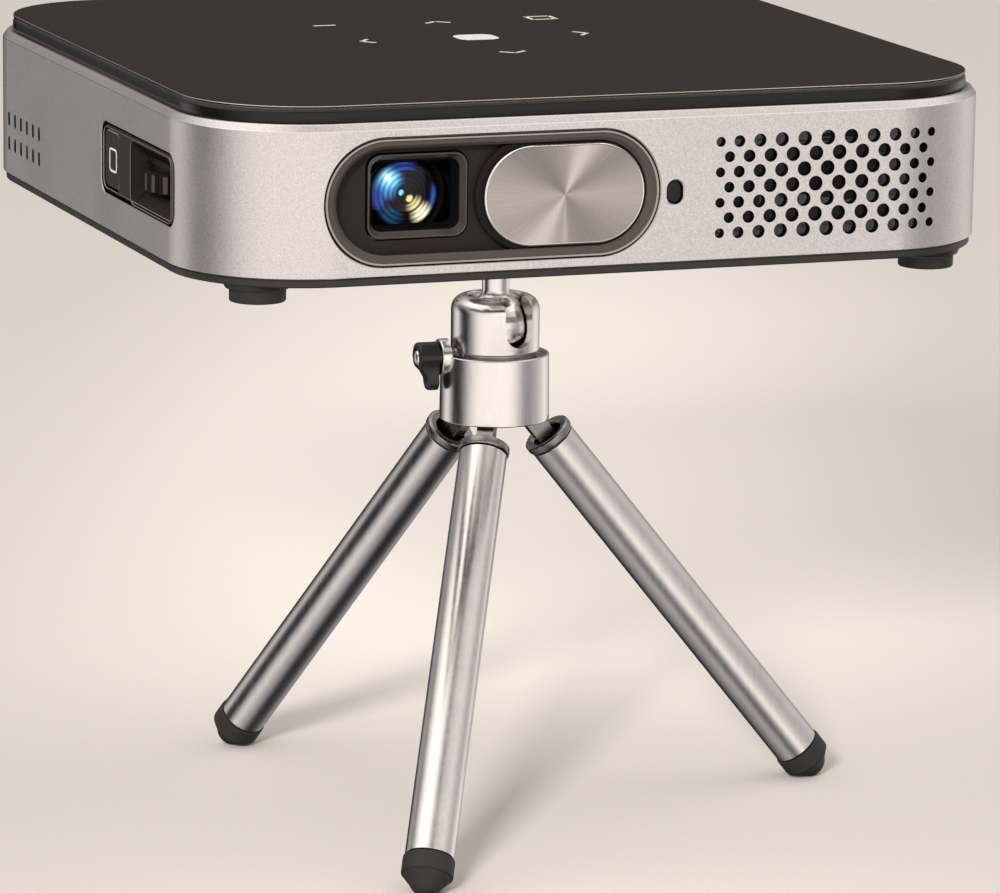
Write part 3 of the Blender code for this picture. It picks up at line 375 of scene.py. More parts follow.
def span_shape(across, up, radius, grow=0.0, steps=8):
    """A rounded rectangle from its spans across and up."""
    centre = (sum(across) / 2, sum(up) / 2)
    width = across[1] - across[0] + 2 * grow
    return inset_shape(width, up[1] - up[0] + 2 * grow, radius + grow, centre, steps)


def between(outer, inner, width):
    """A shape that goes from one outline to another over the given width."""

    def at(inset):
        share = inset / width
        return [(ax + (bx - ax) * share, ay + (by - ay) * share) for (ax, ay), (bx, by) in zip(outer, inner)]

    return at


def case_shape(inset):
    """The case's outline, which stays a rounded square however far it is moved inwards."""
    side = BODY - 2 * inset
    return outline(side, side, max(CORNER - inset, 2.0), steps=32)


def rounded(points, radius, steps=3, closed=True):
    """A profile with its corners rounded. radius is one number, or one for each point."""
    found = []
    count = len(points)
    for i, point in enumerate(points):
        reach = radius[i] if isinstance(radius, (list, tuple)) else radius
        if reach <= 0 or (not closed and i in (0, count - 1)):
            found.append(tuple(point))
            continue
        here = Vector(point)
        back = Vector(points[i - 1]) - here
        ahead = Vector(points[(i + 1) % count]) - here
        size = min(reach, 0.45 * back.length, 0.45 * ahead.length)
        first = here + back.normalized() * size
        last = here + ahead.normalized() * size
        for k in range(steps + 1):
            t = k / steps
            found.append(tuple((1 - t) ** 2 * first + 2 * t * (1 - t) * here + t**2 * last))
    return found


# Where a point of an outline lies when the outline faces a side, at depth d along that side's axis

def front(u, v, d):
    return (u, d, v)


def left(u, v, d):
    return (d, -u, v)


def right(u, v, d):
    return (d, u, v)


def rear(u, v, d):
    return (-u, d, v)


def flat(u, v, d):
    return (u, v, d)


# ---- meshes and objects

UPRIGHT = Matrix.Identity(4)
ON_AXIS = Matrix.Translation((0, AXIS_Y, 0))


def show(obj):
    bpy.context.scene.collection.objects.link(obj)


def loft(bm, rings, closed=False, indexes=None):
    """Joins rings of points with quads. indexes gives the material number of each span."""
    verts = [[bm.verts.new(p) for p in ring] for ring in rings]
    spans = list(zip(verts, verts[1:]))
    if closed:
        spans.append((verts[-1], verts[0]))
    for k, (a, b) in enumerate(spans):
        for i in range(len(a)):
            face = bm.faces.new((a[i - 1], a[i], b[i], b[i - 1]))
            face.material_index = indexes[k] if indexes else 0
    if not closed:
        for ring, k in ((verts[0], 0), (verts[-1], -1)):
            bm.faces.new(ring).material_index = indexes[k] if indexes else 0


def stack(bm, shape, profile, side, closed=False, indexes=None):
    """Lofts a shape through (inset, depth) points, facing the given side."""
    loft(bm, [[side(u, v, d) for u, v in shape(inset)] for inset, d in profile], closed, indexes)


def spin(bm, profile, steps=64, closed=False, centre=(0.0, 0.0)):
    """Turns (radius, height) points about an upright axis."""
    turns = [(math.cos(2 * math.pi * i / steps), math.sin(2 * math.pi * i / steps)) for i in range(steps)]
    loft(bm, [[(centre[0] + r * c, centre[1] + r * s, z) for c, s in turns] for r, z in profile], closed)


def make(bm, name, finishes, place=UPRIGHT, rule=None):
    """An object from millimetres, with h in Z unless place says otherwise.

    rule gives a face's material number from its middle and its normal.
    """
    bmesh.ops.remove_doubles(bm, verts=bm.verts, dist=2e-4)
    bmesh.ops.dissolve_degenerate(bm, edges=bm.edges, dist=1e-5)
    bmesh.ops.recalc_face_normals(bm, faces=bm.faces)
    if rule:
        for face in bm.faces:
            face.material_index = int(rule(face.calc_center_median(), face.normal))
    bm.transform(Matrix.Translation((0, 0, BAND_Z)) @ Matrix.Scale(MM, 4) @ place)
    mesh = bpy.data.meshes.new(name)
    bm.to_mesh(mesh)
    bm.free()
    for finish in finishes:
        mesh.materials.append(finish)
    made = bpy.data.objects.new(name, mesh)
    show(made)
    return made


def stacked(name, finishes, shape, profile, side, closed=False, rule=None):
    bm = bmesh.new()
    stack(bm, shape, profile, side, closed)
    return make(bm, name, finishes, rule=rule)


def turned(name, finishes, profile, place=UPRIGHT, steps=64, closed=False, rule=None):
    bm = bmesh.new()
    spin(bm, profile, steps, closed)
    return make(bm, name, finishes, place, rule)


def settle(obj):
    """Applies an object's modifiers."""
    bpy.context.view_layer.update()
    graph = bpy.context.evaluated_depsgraph_get()
    evaluated = obj.evaluated_get(graph)
    mesh = bpy.data.meshes.new_from_object(evaluated, preserve_all_data_layers=True, depsgraph=graph)
    obj.modifiers.clear()
    old = obj.data
    obj.data = mesh
    mesh.name = old.name
    bpy.data.meshes.remove(old)


def carve(obj, cutter, operation="DIFFERENCE"):
    """Cuts or joins another mesh for good, keeping both sets of materials."""
    modifier = obj.modifiers.new("carve", "BOOLEAN")
    modifier.operation = operation
    modifier.solver = "EXACT"
    modifier.material_mode = "TRANSFER"
    modifier.object = cutter
    settle(obj)
    bpy.data.objects.remove(cutter)


def soften(obj, width, segments, angle):
    """Rounds an object's sharp edges."""
    modifier = obj.modifiers.new("edges", "BEVEL")
    modifier.width = width * MM
    modifier.segments = segments
    modifier.limit_method = "ANGLE"
    modifier.angle_limit = math.radians(angle)
    settle(obj)


def piece(obj, slot, *nodes, body="projector", sharp=38):
    """Shades a finished mesh and puts it on its body, in place of CAD nodes if any are named."""
    obj.data.shade_smooth()
    obj.data.set_sharp_from_angle(angle=math.radians(sharp))
    normals = obj.modifiers.new("normals", "WEIGHTED_NORMAL")
    normals.keep_sharp = True
    normals.weight = 100
    settle(obj)
    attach(obj, body)
    if nodes:
        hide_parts(*nodes)


# ---- the case

BAND_H = 24.66
BAND_TOP = 25.82
RIM_WIDTH = 0.24
CUT_DEPTH = 2.4
TRACK = (-23.1, 12.4)
BEZEL_SIZE = (59.3, 21.2)
IR_SIZE = (2.9, 4.1)
IR_AT = (9.5, 11.9)
PANEL_SPAN = ((10.8, 53.0), (6.5, 18.5))
PANEL_CORNER = 2.5
REAR_SIZE = (66.0, 12.0)
REAR_H = 12.0
LID_TOP = 27.9
PLATE_TOP = 28.7
GLYPH_TOP = 28.72
TRAY_LOW = -1.53
CASE_FEET = ((-61.0, -62.0), (61.0, -62.0), (-61.0, 62.0), (61.0, 62.0))
CASE_SCREWS = ((-42.0, -66.0), (-42.0, 66.0), (42.0, -66.0), (42.0, 66.0))


def chamfered_cut(bm, shape, side, face, inward, rim=RIM_WIDTH):
    """A cutter whose mouth widens by rim at the face. inward is +1 or -1 along the face's axis."""
    outside, edge, deep = (face + inward * depth for depth in (-0.3, rim, CUT_DEPTH))
    profile = [(-rim - 0.3, outside), (0.0, edge), (0.0, deep)]
    # Material 1 of the cutter gives the walls it leaves painted shade, and small holes get it at their
    # mouths too.
    stack(bm, shape, profile, side, indexes=[0 if rim > 0.06 else 1, 1])


def grille(bm):
    """Seven rows of holes, which shrink and close up towards the ends of each row."""
    middle_x, low_h = 37.3, 4.55
    pitch_x, pitch_h, squeeze, half = 4.3, 2.608, 0.0144, 5
    smallest, growth = 1.6, 0.85
    for row in range(7):
        for i in range(2 * half + 1 - row % 2):
            n = i - half + 0.5 * (row % 2)
            size = smallest + growth * (1 - (n / half) ** 2)
            at = (middle_x + pitch_x * n - squeeze * n**3, low_h + pitch_h * row)
            chamfered_cut(bm, stadium(size, size, at, 5), front, -HALF, 1, rim=0.06)


def vents(bm):
    """Two rows of slots towards the rear of each side."""
    width, tall, first, pitch = 1.1, 2.55, 29.0, 4.0
    for side, inward in ((left, 1), (right, -1)):
        for low in (4.5, 9.0):
            for column in range(6):
                at = (-inward * (first + pitch * column), low + tall / 2)
                shape = inset_shape(width, tall, 0.5, at, 3)
                chamfered_cut(bm, shape, side, -inward * HALF, inward, rim=0.04)


def side_band():
    # The crease and the lower edge get the lighter rim metal: partly a smoother edge, partly a painted
    # highlight line.
    def polished_highlight_faces(middle, normal):
        on_crease = 0.1 < normal.z < 0.52 and 24.4 < middle.z < 25.1
        on_lower_edge = normal.z < -0.3 and middle.z < 0.4
        return on_crease or on_lower_edge

    wall = 1.6
    edge = [(0.0, 0.0), (0.0, BAND_H), (0.8, BAND_TOP), (1.5, BAND_TOP), (wall, 25.0), (wall, 0.0)]
    profile = rounded(edge, [0.25, 0.12, 0.18, 0.1, 0, 0])
    shell = stacked("side_band", [SHELL, RIM_HIGHLIGHT, EDGE], case_shape, profile, flat, True, polished_highlight_faces)
    cutter = bmesh.new()
    chamfered_cut(cutter, stadium(BEZEL_SIZE[0] + 0.5, BEZEL_SIZE[1] + 0.5, TRACK), front, -HALF, 1)
    chamfered_cut(cutter, stadium(*IR_SIZE, IR_AT, 8), front, -HALF, 1)
    grille(cutter)
    vents(cutter)
    chamfered_cut(cutter, span_shape(*PANEL_SPAN, PANEL_CORNER, 0.25), left, -HALF, 1, rim=0.14)
    chamfered_cut(cutter, inset_shape(66.6, 12.6, 2.3, (0, REAR_H), 6), rear, HALF, -1)
    carve(shell, make(cutter, "band_cutter", [EDGE, HOLE_SHADE]))
    piece(shell, "shell_metal", "side_shell", sharp=24)


def lid():
    # The rounded edges get the light edge colour as painted highlights, and the steep side stays dark gloss.
    def plate_finish_and_highlight(_, normal):
        slant = abs(normal.z)
        if slant <= 0.3:
            return 2
        return slant < 0.985

    deep = 30.0
    edge = [(deep, 28.2), (1.94, 28.2), (1.94, PLATE_TOP), (deep, PLATE_TOP)]
    profile = rounded(edge, 0.17, 4, closed=False)
    plate = stacked("touch_plate", [LID, LID_EDGE_HIGHLIGHT, GLOSS], case_shape, profile, flat, rule=plate_finish_and_highlight)
    plate.visible_glossy = False
    piece(plate, "lid_satin", "touch_panel", sharp=60)
    inner = [(deep, 25.4), (4.0, 25.4), (4.0, 23.7), (2.5, 23.7), (2.5, 25.4)]
    outer = [(1.9, 25.75), (1.86, 26.6), (1.9, 27.55), (2.15, LID_TOP), (deep, LID_TOP)]
    rim = stacked("lid_band", [GLOSS], case_shape, rounded(inner + outer, 0.12, 3, closed=False), flat)
    rim.visible_glossy = False
    piece(rim, "lid_gloss", "top_cover", sharp=60)


def under_side():
    low, deep = TRAY_LOW, 30.0
    edge = rounded([(deep, -0.3), (0.56, -0.3), (0.56, low), (deep, low)], [0, 0.12, 0.3, 0], 3, False)
    cover = stacked("bottom_tray", [BASE], case_shape, edge, flat)
    bosses = bmesh.new()
    boss = rounded([(0, -1.0), (6.1, -1.0), (5.9, -1.6), (5.5, -2.6), (0, -2.6)], 0.2, 2, False)
    for at in CASE_FEET:
        spin(bosses, boss, 40, centre=at)
    spin(bosses, [(0, -1.0), (6.6, -1.0), (6.6, 8.0), (0, 8.0)], 40, centre=(0, AXIS_Y))
    carve(cover, make(bosses, "bosses", [BASE]), "UNION")
    cutter = bmesh.new()
    intakes, pitch = 9, 4.4
    for i in range(intakes):
        shape = stadium(1.6, 22.0, (37.3 + pitch * (i - intakes // 2), -42.0), 4)
        stack(cutter, shape, [(-0.4, low - 0.2), (0.0, low + 0.2), (0.0, 0.2)], flat)
    bore = [(0, low - 1), (5.4, low - 0.2), (4.9, low + 0.3), (4.9, 9.0), (0, 9.0)]
    spin(cutter, bore, 40, centre=(0, AXIS_Y))
    for at in CASE_SCREWS:
        spin(cutter, [(0, low - 0.2), (2.5, low - 0.2), (2.3, low + 0.5), (0, low + 0.5)], 24, centre=at)
    carve(cover, make(cutter, "tray_cutter", [BASE]))
    cover.visible_glossy = False
    piece(cover, "base_plastic", "bottom_cover")
    for x, y in CASE_SCREWS:
        screw_head(f"case_screw_{'r' if x > 0 else 'l'}{'b' if y > 0 else 'f'}", (x, y, low + 0.48))


def screw_head(name, at):
    """A small dished screw head with a cross recess, which faces down."""
    place = Matrix.Translation(at)
    profile = rounded([(0, 0.0), (1.9, 0.0), (2.0, -0.25), (1.3, -0.42), (0, -0.42)], 0.1, 2, False)
    head = turned(name, [STEEL], profile, place, 24)
    long, short = 1.1, 0.2
    arm = [(long, -short), (long, short), (short, short)]
    ring = [Matrix.Rotation(math.radians(90 * i), 2) @ Vector(p) for i in range(4) for p in arm]
    cross = bmesh.new()
    loft(cross, [[(x, y, z) for x, y in ring] for z in (-0.6, -0.15)])
    carve(head, make(cross, "cross", [BLACK], place))
    piece(head, "base_plastic")


def case_feet():
    profile = [(0, -2.9), (4.8, -2.9), (4.8, -4.9), (3.4, -4.9), (3.2, -4.6), (0, -4.6)]
    edge = rounded(profile, [0, 0.15, 0.4, 0.15, 0.1, 0], 3, False)
    for x, y in CASE_FEET:
        place_name = f"{'rear' if y > 0 else 'front'}_{'right' if x > 0 else 'left'}"
        foot = turned(f"case_foot_{place_name}", [RUBBER], edge, Matrix.Translation((x, y, 0)), 48)
        piece(foot, "foot_rubber", f"rubber_foot_{place_name}")


# Plain printed control marks besides the central key: four arrows, a dash and an open square
MARKS = {
    "mark_up": [(-1.2, 23.2), (1.0, 25.0), (3.2, 23.2)],
    "mark_down": [(-1.4, -16.4), (0.8, -18.2), (3.0, -16.4)],
    "mark_left": [(-18.9, 5.2), (-20.7, 3.0), (-18.9, 0.8)],
    "mark_right": [(20.6, 5.2), (22.4, 3.0), (20.6, 0.8)],
    "mark_dash": [(-22.2, 25.0), (-18.4, 25.0)],
    "mark_back": [(19.4, 27.0), (24.0, 27.0), (24.0, 23.0), (19.4, 23.0), (19.4, 27.0)],
}
MARK_WIDTH = 0.7


def glyphs():
    levels = (GLYPH_TOP - 0.03, GLYPH_TOP)
    key = inset_shape(7.6, 7.0, 2.2, (1.0, 3.0), 6)
    piece(stacked("mark_key", [PRINT], key, [(0, z) for z in levels], flat), "lid_satin")
    for name, points in MARKS.items():
        bm = bmesh.new()
        for a, b in zip(points, points[1:]):
            along = (Vector(b) - Vector(a)).normalized() * MARK_WIDTH / 2
            across = Vector((-along.y, along.x))
            first, last = Vector(a) - along * 0.6, Vector(b) + along * 0.6
            ring = [first - across, last - across, last + across, first + across]
            loft(bm, [[(p.x, p.y, z) for p in ring] for z in levels])
        piece(make(bm, name, [PRINT]), "lid_satin")


# ---- the lens group

WINDOW_AT = (-35.75, 12.95)
WINDOW_SIZE = (17.6, 14.2)
LENS_AT = (-36.0, 12.4)
COVER_AT = (-10.3, 12.4)
COVER_FACE = -72.68


def lens_bezel():
    outer = outline(*BEZEL_SIZE, BEZEL_SIZE[1] / 2 - 0.001, TRACK, 32)
    inner = outline(55.1, 17.9, 8.95 - 0.001, TRACK, 32)
    profile = [
        (0.0, -70.2), (0.0, -72.95), (0.35, -72.95), (0.5, -72.75), (1.35, -72.75), (2.0, -72.25),
        (2.0, -71.9), (0.9, -71.9), (0.9, -70.2),
    ]
    points = rounded(profile, [0.1, 0.08, 0.08, 0.05, 0.25, 0.1, 0.05, 0.05, 0.05])
    shape = between(outer, inner, 2.0)
    # The frontmost lip gets the light edge colour as a painted highlight line.
    ring = stacked("bezel_ring", [BEZEL, TRIM_HIGHLIGHT], shape, points, front, True, lambda p, _: p.y < -72.85)
    piece(ring, "bezel_plastic", "lens_bezel")


def lens_panel():
    outer = outline(62.0, 20.4, 8.0, TRACK, 12)
    hole = outline(WINDOW_SIZE[0] + 0.6, WINDOW_SIZE[1] + 0.6, 2.6, WINDOW_AT, 12)
    profile = [(0, -68.4), (0, -69.9), (1, -69.9), (1, -68.4)]
    board = stacked("lens_board", [BOARD], between(outer, hole, 1.0), profile, front, True)
    piece(board, "panel_gloss", "lens_panel")


def window_frame():
    """The stepped funnel round the lens: satin outside, with painted shade on its inner part."""
    reach = 1.7
    mouth = outline(*WINDOW_SIZE, 2.3, WINDOW_AT, 12)
    shape = between(mouth, outline(14.4, 10.6, 1.5, WINDOW_AT, 12), reach)
    profile = [
        (0.0, -66.0), (0.0, -70.3), (0.16, -70.38), (0.32, -70.3), (0.4, -70.1), (1.0, -69.0),
        (1.08, -68.85), (1.3, -68.85), (1.34, -68.6), (1.5, -68.3), (1.5, -67.6), (reach, -67.5),
        (reach, -66.0),
    ]
    points = rounded(profile, 0.06, 2)
    funnel = stacked("window_funnel", [BEZEL, HOLE_SHADE], shape, points, front, True, lambda p, _: p.y > -69.0)
    piece(funnel, "bezel_plastic", "lens_window_frame")


def lens():
    """The barrel and its front lens, turned about the lens axis: their height is the way out."""
    place = Matrix.Translation((LENS_AT[0], 0, LENS_AT[1])) @ Matrix.Rotation(math.radians(90), 4, "X")
    mouth, back = (-corner.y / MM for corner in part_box("lens_barrel"))
    radius, bore = 7.3, 6.3
    profile = [(radius, back), (radius, mouth - 0.3), (radius - 0.3, mouth), (bore + 0.5, mouth)]
    for i in range(3):
        ridge = bore + 0.45 - 0.15 * i
        profile += [(ridge, mouth - 0.25 - 0.5 * i), (ridge - 0.12, mouth - 0.3 - 0.5 * i)]
    profile += [(bore, mouth - 1.9), (bore, back)]
    # The barrel gets painted shade all over.
    tube = turned("barrel_tube", [HOLE_SHADE], profile, place, 96, closed=True)
    piece(tube, "barrel_steel", "lens_barrel", body="lens_barrel")
    apex, glass_back = (-corner.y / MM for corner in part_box("front_lens"))
    glass_r, bulge, rim, arcs = 6.0, 1.1, 0.5, 14
    dome = [(glass_r * i / arcs, apex - bulge * (i / arcs) ** 2) for i in range(arcs + 1)]
    dome += [(glass_r, apex - bulge - rim), (glass_r - 0.3, glass_back), (0, glass_back)]
    centre = Vector((LENS_AT[0] * MM, 0, BAND_Z + LENS_AT[1] * MM))
    glass = turned("front_glass", [lens_glass_painted_reflections(centre, 5.75 * MM)], dome, place, 96)
    piece(glass, "lens_glass", "front_lens", body="lens_barrel", sharp=30)


def sliding_cover():
    # All but the disc's face get the lighter rim metal, partly a painted bright rim.
    def off_face(middle, normal):
        return not (abs(normal.y) > 0.98 and COVER_FACE - 0.02 < middle.y < COVER_FACE + 0.02)

    centre = Vector((COVER_AT[0] * MM, COVER_FACE * MM, BAND_Z + COVER_AT[1] * MM))
    finishes = [brushed_disc_painted_sheen(centre), RIM_HIGHLIGHT]
    profile = [(8.0, -72.0), (0.05, -72.0), (0.0, -72.45), (0.28, -72.75)]
    profile += [(0.36, COVER_FACE), (8.0, COVER_FACE)]
    points = rounded(profile, [0, 0.08, 0.06, 0.04, 0.04, 0], 2, False)
    disc = stacked("cover_disc", finishes, stadium(28.8, 17.2, COVER_AT), points, front, rule=off_face)
    piece(disc, "cover_metal", "lens_cover", body="lens_cover")
    profile = [(8.0, -70.6), (0.0, -70.6), (0.0, -71.3), (0.35, -71.6), (8.0, -71.6)]
    points = rounded(profile, [0, 0.1, 0.1, 0.1, 0], 2, False)
    sled = stacked("cover_sled", [PANEL], stadium(31.0, 19.4, (-10.4, 12.4)), points, front)
    piece(sled, "bezel_plastic", "cover_carrier", body="lens_cover")


def ir_window():
    shape = stadium(IR_SIZE[0] - 0.3, IR_SIZE[1] - 0.3, IR_AT, 8)
    points = rounded([(1.0, -70.6), (0, -70.6), (0, -72.4), (1.0, -72.4)], [0, 0, 0.25, 0], 3, False)
    piece(stacked("ir_pane", [GLOSS], shape, points, front), "panel_gloss", "ir_window")


# ---- the controls

SCOOP_MOUTH = inset_shape(23.0, 10.5, 1.6, (39.4, 12.25), 8)
BUTTON_SPAN = ((11.6, 20.6), (7.5, 17.5))
WHEEL_AT = Matrix.Translation((-64.6, -36.0, 0))
WHEEL_U = 36.0
WHEEL_R = 8.0
WHEEL_H = (9.7, 13.6)
PANEL_FACE = -72.8


def control_panel():
    profile = [(4.0, -68.8), (0.0, -68.8), (0.0, -72.1), (0.18, -72.5)]
    profile += [(0.45, PANEL_FACE), (4.0, PANEL_FACE)]
    points = rounded(profile, [0, 0, 0.08, 0.08, 0.08, 0], 2, False)
    shape = span_shape(*PANEL_SPAN, PANEL_CORNER)
    # Painted shade on the plate's side walls, in the gap round it.
    panel = stacked("control_plate", [CONTROL, HOLE_SHADE], shape, points, left, rule=lambda _, n: n.x > -0.6)
    cutter = bmesh.new()
    button = span_shape(*BUTTON_SPAN, 1.6, 0.45)
    well = [(0.0, -73.0), (0.0, -71.9), (0.15, -71.6), (0.15, -68.0)]
    # Painted shade on the walls of the button's well.
    stack(cutter, button, well, left, indexes=[1, 1, 1])
    floor = outline(19.5, 5.6, 0.8, (38.75, 12.4), 8)
    rings = ((SCOOP_MOUTH(-0.3), -73.1), (SCOOP_MOUTH(0.0), -72.7), (floor, -70.2))
    loft(cutter, [[left(u, v, depth) for u, v in points] for points, depth in rings])
    carve(panel, make(cutter, "panel_cutter", [PANEL, HOLE_SHADE]))
    slot_h = (WHEEL_H[0] - 0.5, WHEEL_H[1] + 0.5)
    slot = span_shape((WHEEL_U - 7.0, WHEEL_U + 7.0), slot_h, 0.4, steps=3)
    carve(panel, stacked("wheel_slot", [PANEL], slot, [(0, -72.5), (0, -68.0)], left))
    ears = bmesh.new()
    for ear_h in ((5.4, 6.9), (15.4, 16.9)):
        ear = span_shape((WHEEL_U - 4.0, WHEEL_U + 4.0), ear_h, 0.2, steps=2)
        stack(ears, ear, [(0, -69.3), (0, -61.4)], left)
    carve(panel, make(ears, "ears", [CONTROL]), "UNION")
    carve(panel, turned("bore", [CONTROL], [(0, 4.0), (1.3, 4.0), (1.3, 18.0), (0, 18.0)], WHEEL_AT, 24))
    piece(panel, "control_plastic", "side_panel")
    edge_highlight_line("control_line", shape, 0.62)
    edge_highlight_line("scoop_line", SCOOP_MOUTH, -0.42)


def edge_highlight_line(name, shape, inset):
    """A thin light line, let into the control panel at an inset from an outline, as a painted highlight line
    along that edge.
    """
    ridge = [(-0.09, -72.76), (0.0, -72.84), (0.09, -72.76), (0.09, -72.7), (-0.09, -72.7)]
    line = stacked(name, [TRIM_HIGHLIGHT], shape, [(inset + across, d) for across, d in ridge], left, True)
    piece(line, "control_plastic")


def toothed_ring(count, steps, reach_at):
    """Points round a wheel with count teeth. reach_at gives the radius from the tooth's cosine."""
    points = []
    for i in range(count * steps):
        angle = 2 * math.pi * i / (count * steps)
        radius = reach_at(math.cos(count * angle))
        points.append((radius * math.cos(angle), radius * math.sin(angle)))
    return points


def focus_wheel():
    """The ribbed thumb wheel with its spindle and pinion. The crests of its ribs get a lighter colour, a
    painted highlight.
    """
    ribs, groove = 18, 0.8
    low, high = WHEEL_H
    levels = [(low, 1.2), (low + 0.12, 0.5), (low + 0.5, 0.0)]
    levels += [(high - 0.5, 0.0), (high - 0.12, 0.5), (high, 1.2)]

    def rib(inset):
        def reach(wave):
            crest = min(max(0.1 + 1.8 * wave, 0.0), 1.0)
            return WHEEL_R - max(groove, inset) + max(groove - inset, 0.0) * crest

        return reach

    def tooth(wave):
        return 1.5 + 0.8 * min(max(0.5 - 1.3 * wave, 0.0), 1.0)

    bm = bmesh.new()
    loft(bm, [[(x, y, at) for x, y in toothed_ring(ribs, 12, rib(inset))] for at, inset in levels])
    # A lighter colour on the rib crests, as painted highlights.
    wheel = make(
        bm,
        "thumb_wheel",
        [PANEL, BEZEL],
        WHEEL_AT,
        lambda middle, _: math.hypot(middle.x, middle.y) > WHEEL_R - 0.2,
    )
    gear = bmesh.new()
    loft(gear, [[(x, y, at) for x, y in toothed_ring(10, 8, tooth)] for at in (7.3, 9.9)])
    carve(wheel, make(gear, "pinion", [CONTROL], WHEEL_AT), "UNION")
    spindle = rounded([(0, 5.0), (1.0, 5.0), (1.0, 17.3), (0, 17.3)], [0, 0.15, 0.15, 0], 2, False)
    carve(wheel, turned("spindle", [STEEL], spindle, WHEEL_AT, 32), "UNION")
    piece(wheel, "control_plastic", "focus_wheel", body="focus_wheel", sharp=45)


def power_button():
    # The face keeps the key's colour. The rounded front edge gets the light edge colour as a painted
    # highlight, and the side walls get painted shade.
    def key_face_and_painted_light(middle, normal):
        if normal.x <= -0.97:
            return 0
        return 1 if middle.x < -72.42 else 2

    profile = [(3.0, -67.5), (-1.0, -67.5), (-1.0, -68.5), (0.0, -68.5)]
    profile += [(0.0, -72.35), (0.3, -72.6), (3.0, -72.6)]
    points = rounded(profile, [0, 0.1, 0.1, 0.1, 0.1, 0.15, 0], 2, False)
    shape = span_shape(*BUTTON_SPAN, 1.6)
    key = stacked("power_key", [CONTROL, TRIM_HIGHLIGHT, HOLE_SHADE], shape, points, left, rule=key_face_and_painted_light)
    piece(key, "control_plastic", "power_button", body="power_button")
    mark = inset_shape(4.4, 4.2, 0.9, (16.6, 12.4), 6)
    profile = [(0, -72.58), (0, -72.63), (0.38, -72.63), (0.38, -72.58)]
    piece(stacked("power_mark", [PRINT], mark, profile, left, True), "control_plastic", body="power_button")


# ---- the rear

# Each socket's place across, outer size, opening and length
SOCKETS = {
    "dc_jack": (-25.0, (9.0, 9.0), (5.8, 5.8), 12.0),
    "hdmi_port": (-8.0, (16.2, 7.2), (14.4, 5.0), 11.0),
    "usb_port": (13.0, (14.6, 7.6), (12.8, 5.4), 14.0),
    "audio_jack": (27.0, (7.0, 7.0), (3.6, 3.6), 12.0),
}


def rear_panel():
    profile = [(3.0, 71.2), (0, 71.2), (0, 72.7), (0.2, 72.9), (3.0, 72.9)]
    points = rounded(profile, [0, 0, 0.08, 0.08, 0], 2, False)
    plate = stacked("rear_plate", [CONTROL], inset_shape(*REAR_SIZE, 2.0, (0, REAR_H), 6), points, rear)
    cutter = bmesh.new()
    for x, _, hole, _ in SOCKETS.values():
        radius = hole[1] / 2 - 0.001 if hole[0] == hole[1] else 0.7
        shape = inset_shape(*hole, radius, (x, REAR_H), 8)
        stack(cutter, shape, [(-0.7, 73.2), (-0.1, 72.7), (0.0, 72.5), (0.0, 70.8)], rear)
    carve(plate, make(cutter, "plate_cutter", [PANEL]))
    piece(plate, "control_plastic", "rear_panel")


def sockets():
    face = 70.9
    for name, (x, size, hole, length) in SOCKETS.items():
        is_round = hole[0] == hole[1]
        outer = outline(*size, 0.6, (x, REAR_H), 8)
        inner = outline(*hole, hole[1] / 2 - 0.001 if is_round else 0.6, (x, REAR_H), 8)
        back = face - length
        rings = [(outer, back), (outer, face - 0.1), (inner, face), (inner, back + 1.5)]
        bm = bmesh.new()
        loft(bm, [[rear(u, v, d) for u, v in points] for points, d in rings])
        socket = make(bm, f"{name}_shell", [BLACK if is_round else ALLOY])
        piece(socket, "inner_plastic" if is_round else "port_metal", name)
    hdmi_x, usb_x, dc_x = (SOCKETS[name][0] for name in ("hdmi_port", "usb_port", "dc_jack"))
    tongues = {
        "hdmi_tongue": (11.0, 1.1, (hdmi_x, REAR_H), 61.2, 68.6),
        "usb_tongue": (11.2, 1.8, (usb_x, REAR_H + 1.1), 58.3, 69.4),
    }
    for name, (wide, tall, at, back, tip) in tongues.items():
        tongue = stacked(name, [BLACK], inset_shape(wide, tall, 0.2, at, 2), [(0, back), (0, tip)], rear)
        piece(tongue, "inner_plastic")
    bm = bmesh.new()
    for i in range(4):
        strip = inset_shape(1.2, 0.2, 0.05, (usb_x + 2.3 * (i - 1.5), REAR_H + 0.15), 1)
        stack(bm, strip, [(0, 60.0), (0, 69.0)], rear)
    piece(make(bm, "usb_contacts", [GOLD]), "port_metal")
    place = Matrix.Translation((-dc_x, 60.3, REAR_H)) @ Matrix.Rotation(math.radians(-90), 4, "X")
    pin = turned("dc_pin", [GOLD], [(0, 0), (0.85, 0), (0.85, 7.2), (0.6, 7.8), (0, 7.8)], place, 20)
    piece(pin, "port_metal")


# ---- the tripod

SPREAD = math.radians(39.04)
LEGS = {"a": -120.0, "b": 120.0, "c": 0.0}
PIVOT_R = 6.0
PIVOT_H = -36.46
LEG_LENGTH = 86.6
TIP_LENGTH = 6.75
TIP_R = 3.25
BALL_H = -21.4
BALL_R = 6.2
SOCKET_R = 6.5
NECK_R = 2.45
SLOT_WIDTH = 5.8
SLOT_AZIMUTH = -75.0
KNOB_PLACE = (
    ON_AXIS
    @ Matrix.Translation((0, 0, -26.6))
    @ Matrix.Rotation(math.radians(177.0), 4, "Z")
    @ Matrix.Rotation(math.radians(90), 4, "Y")
)


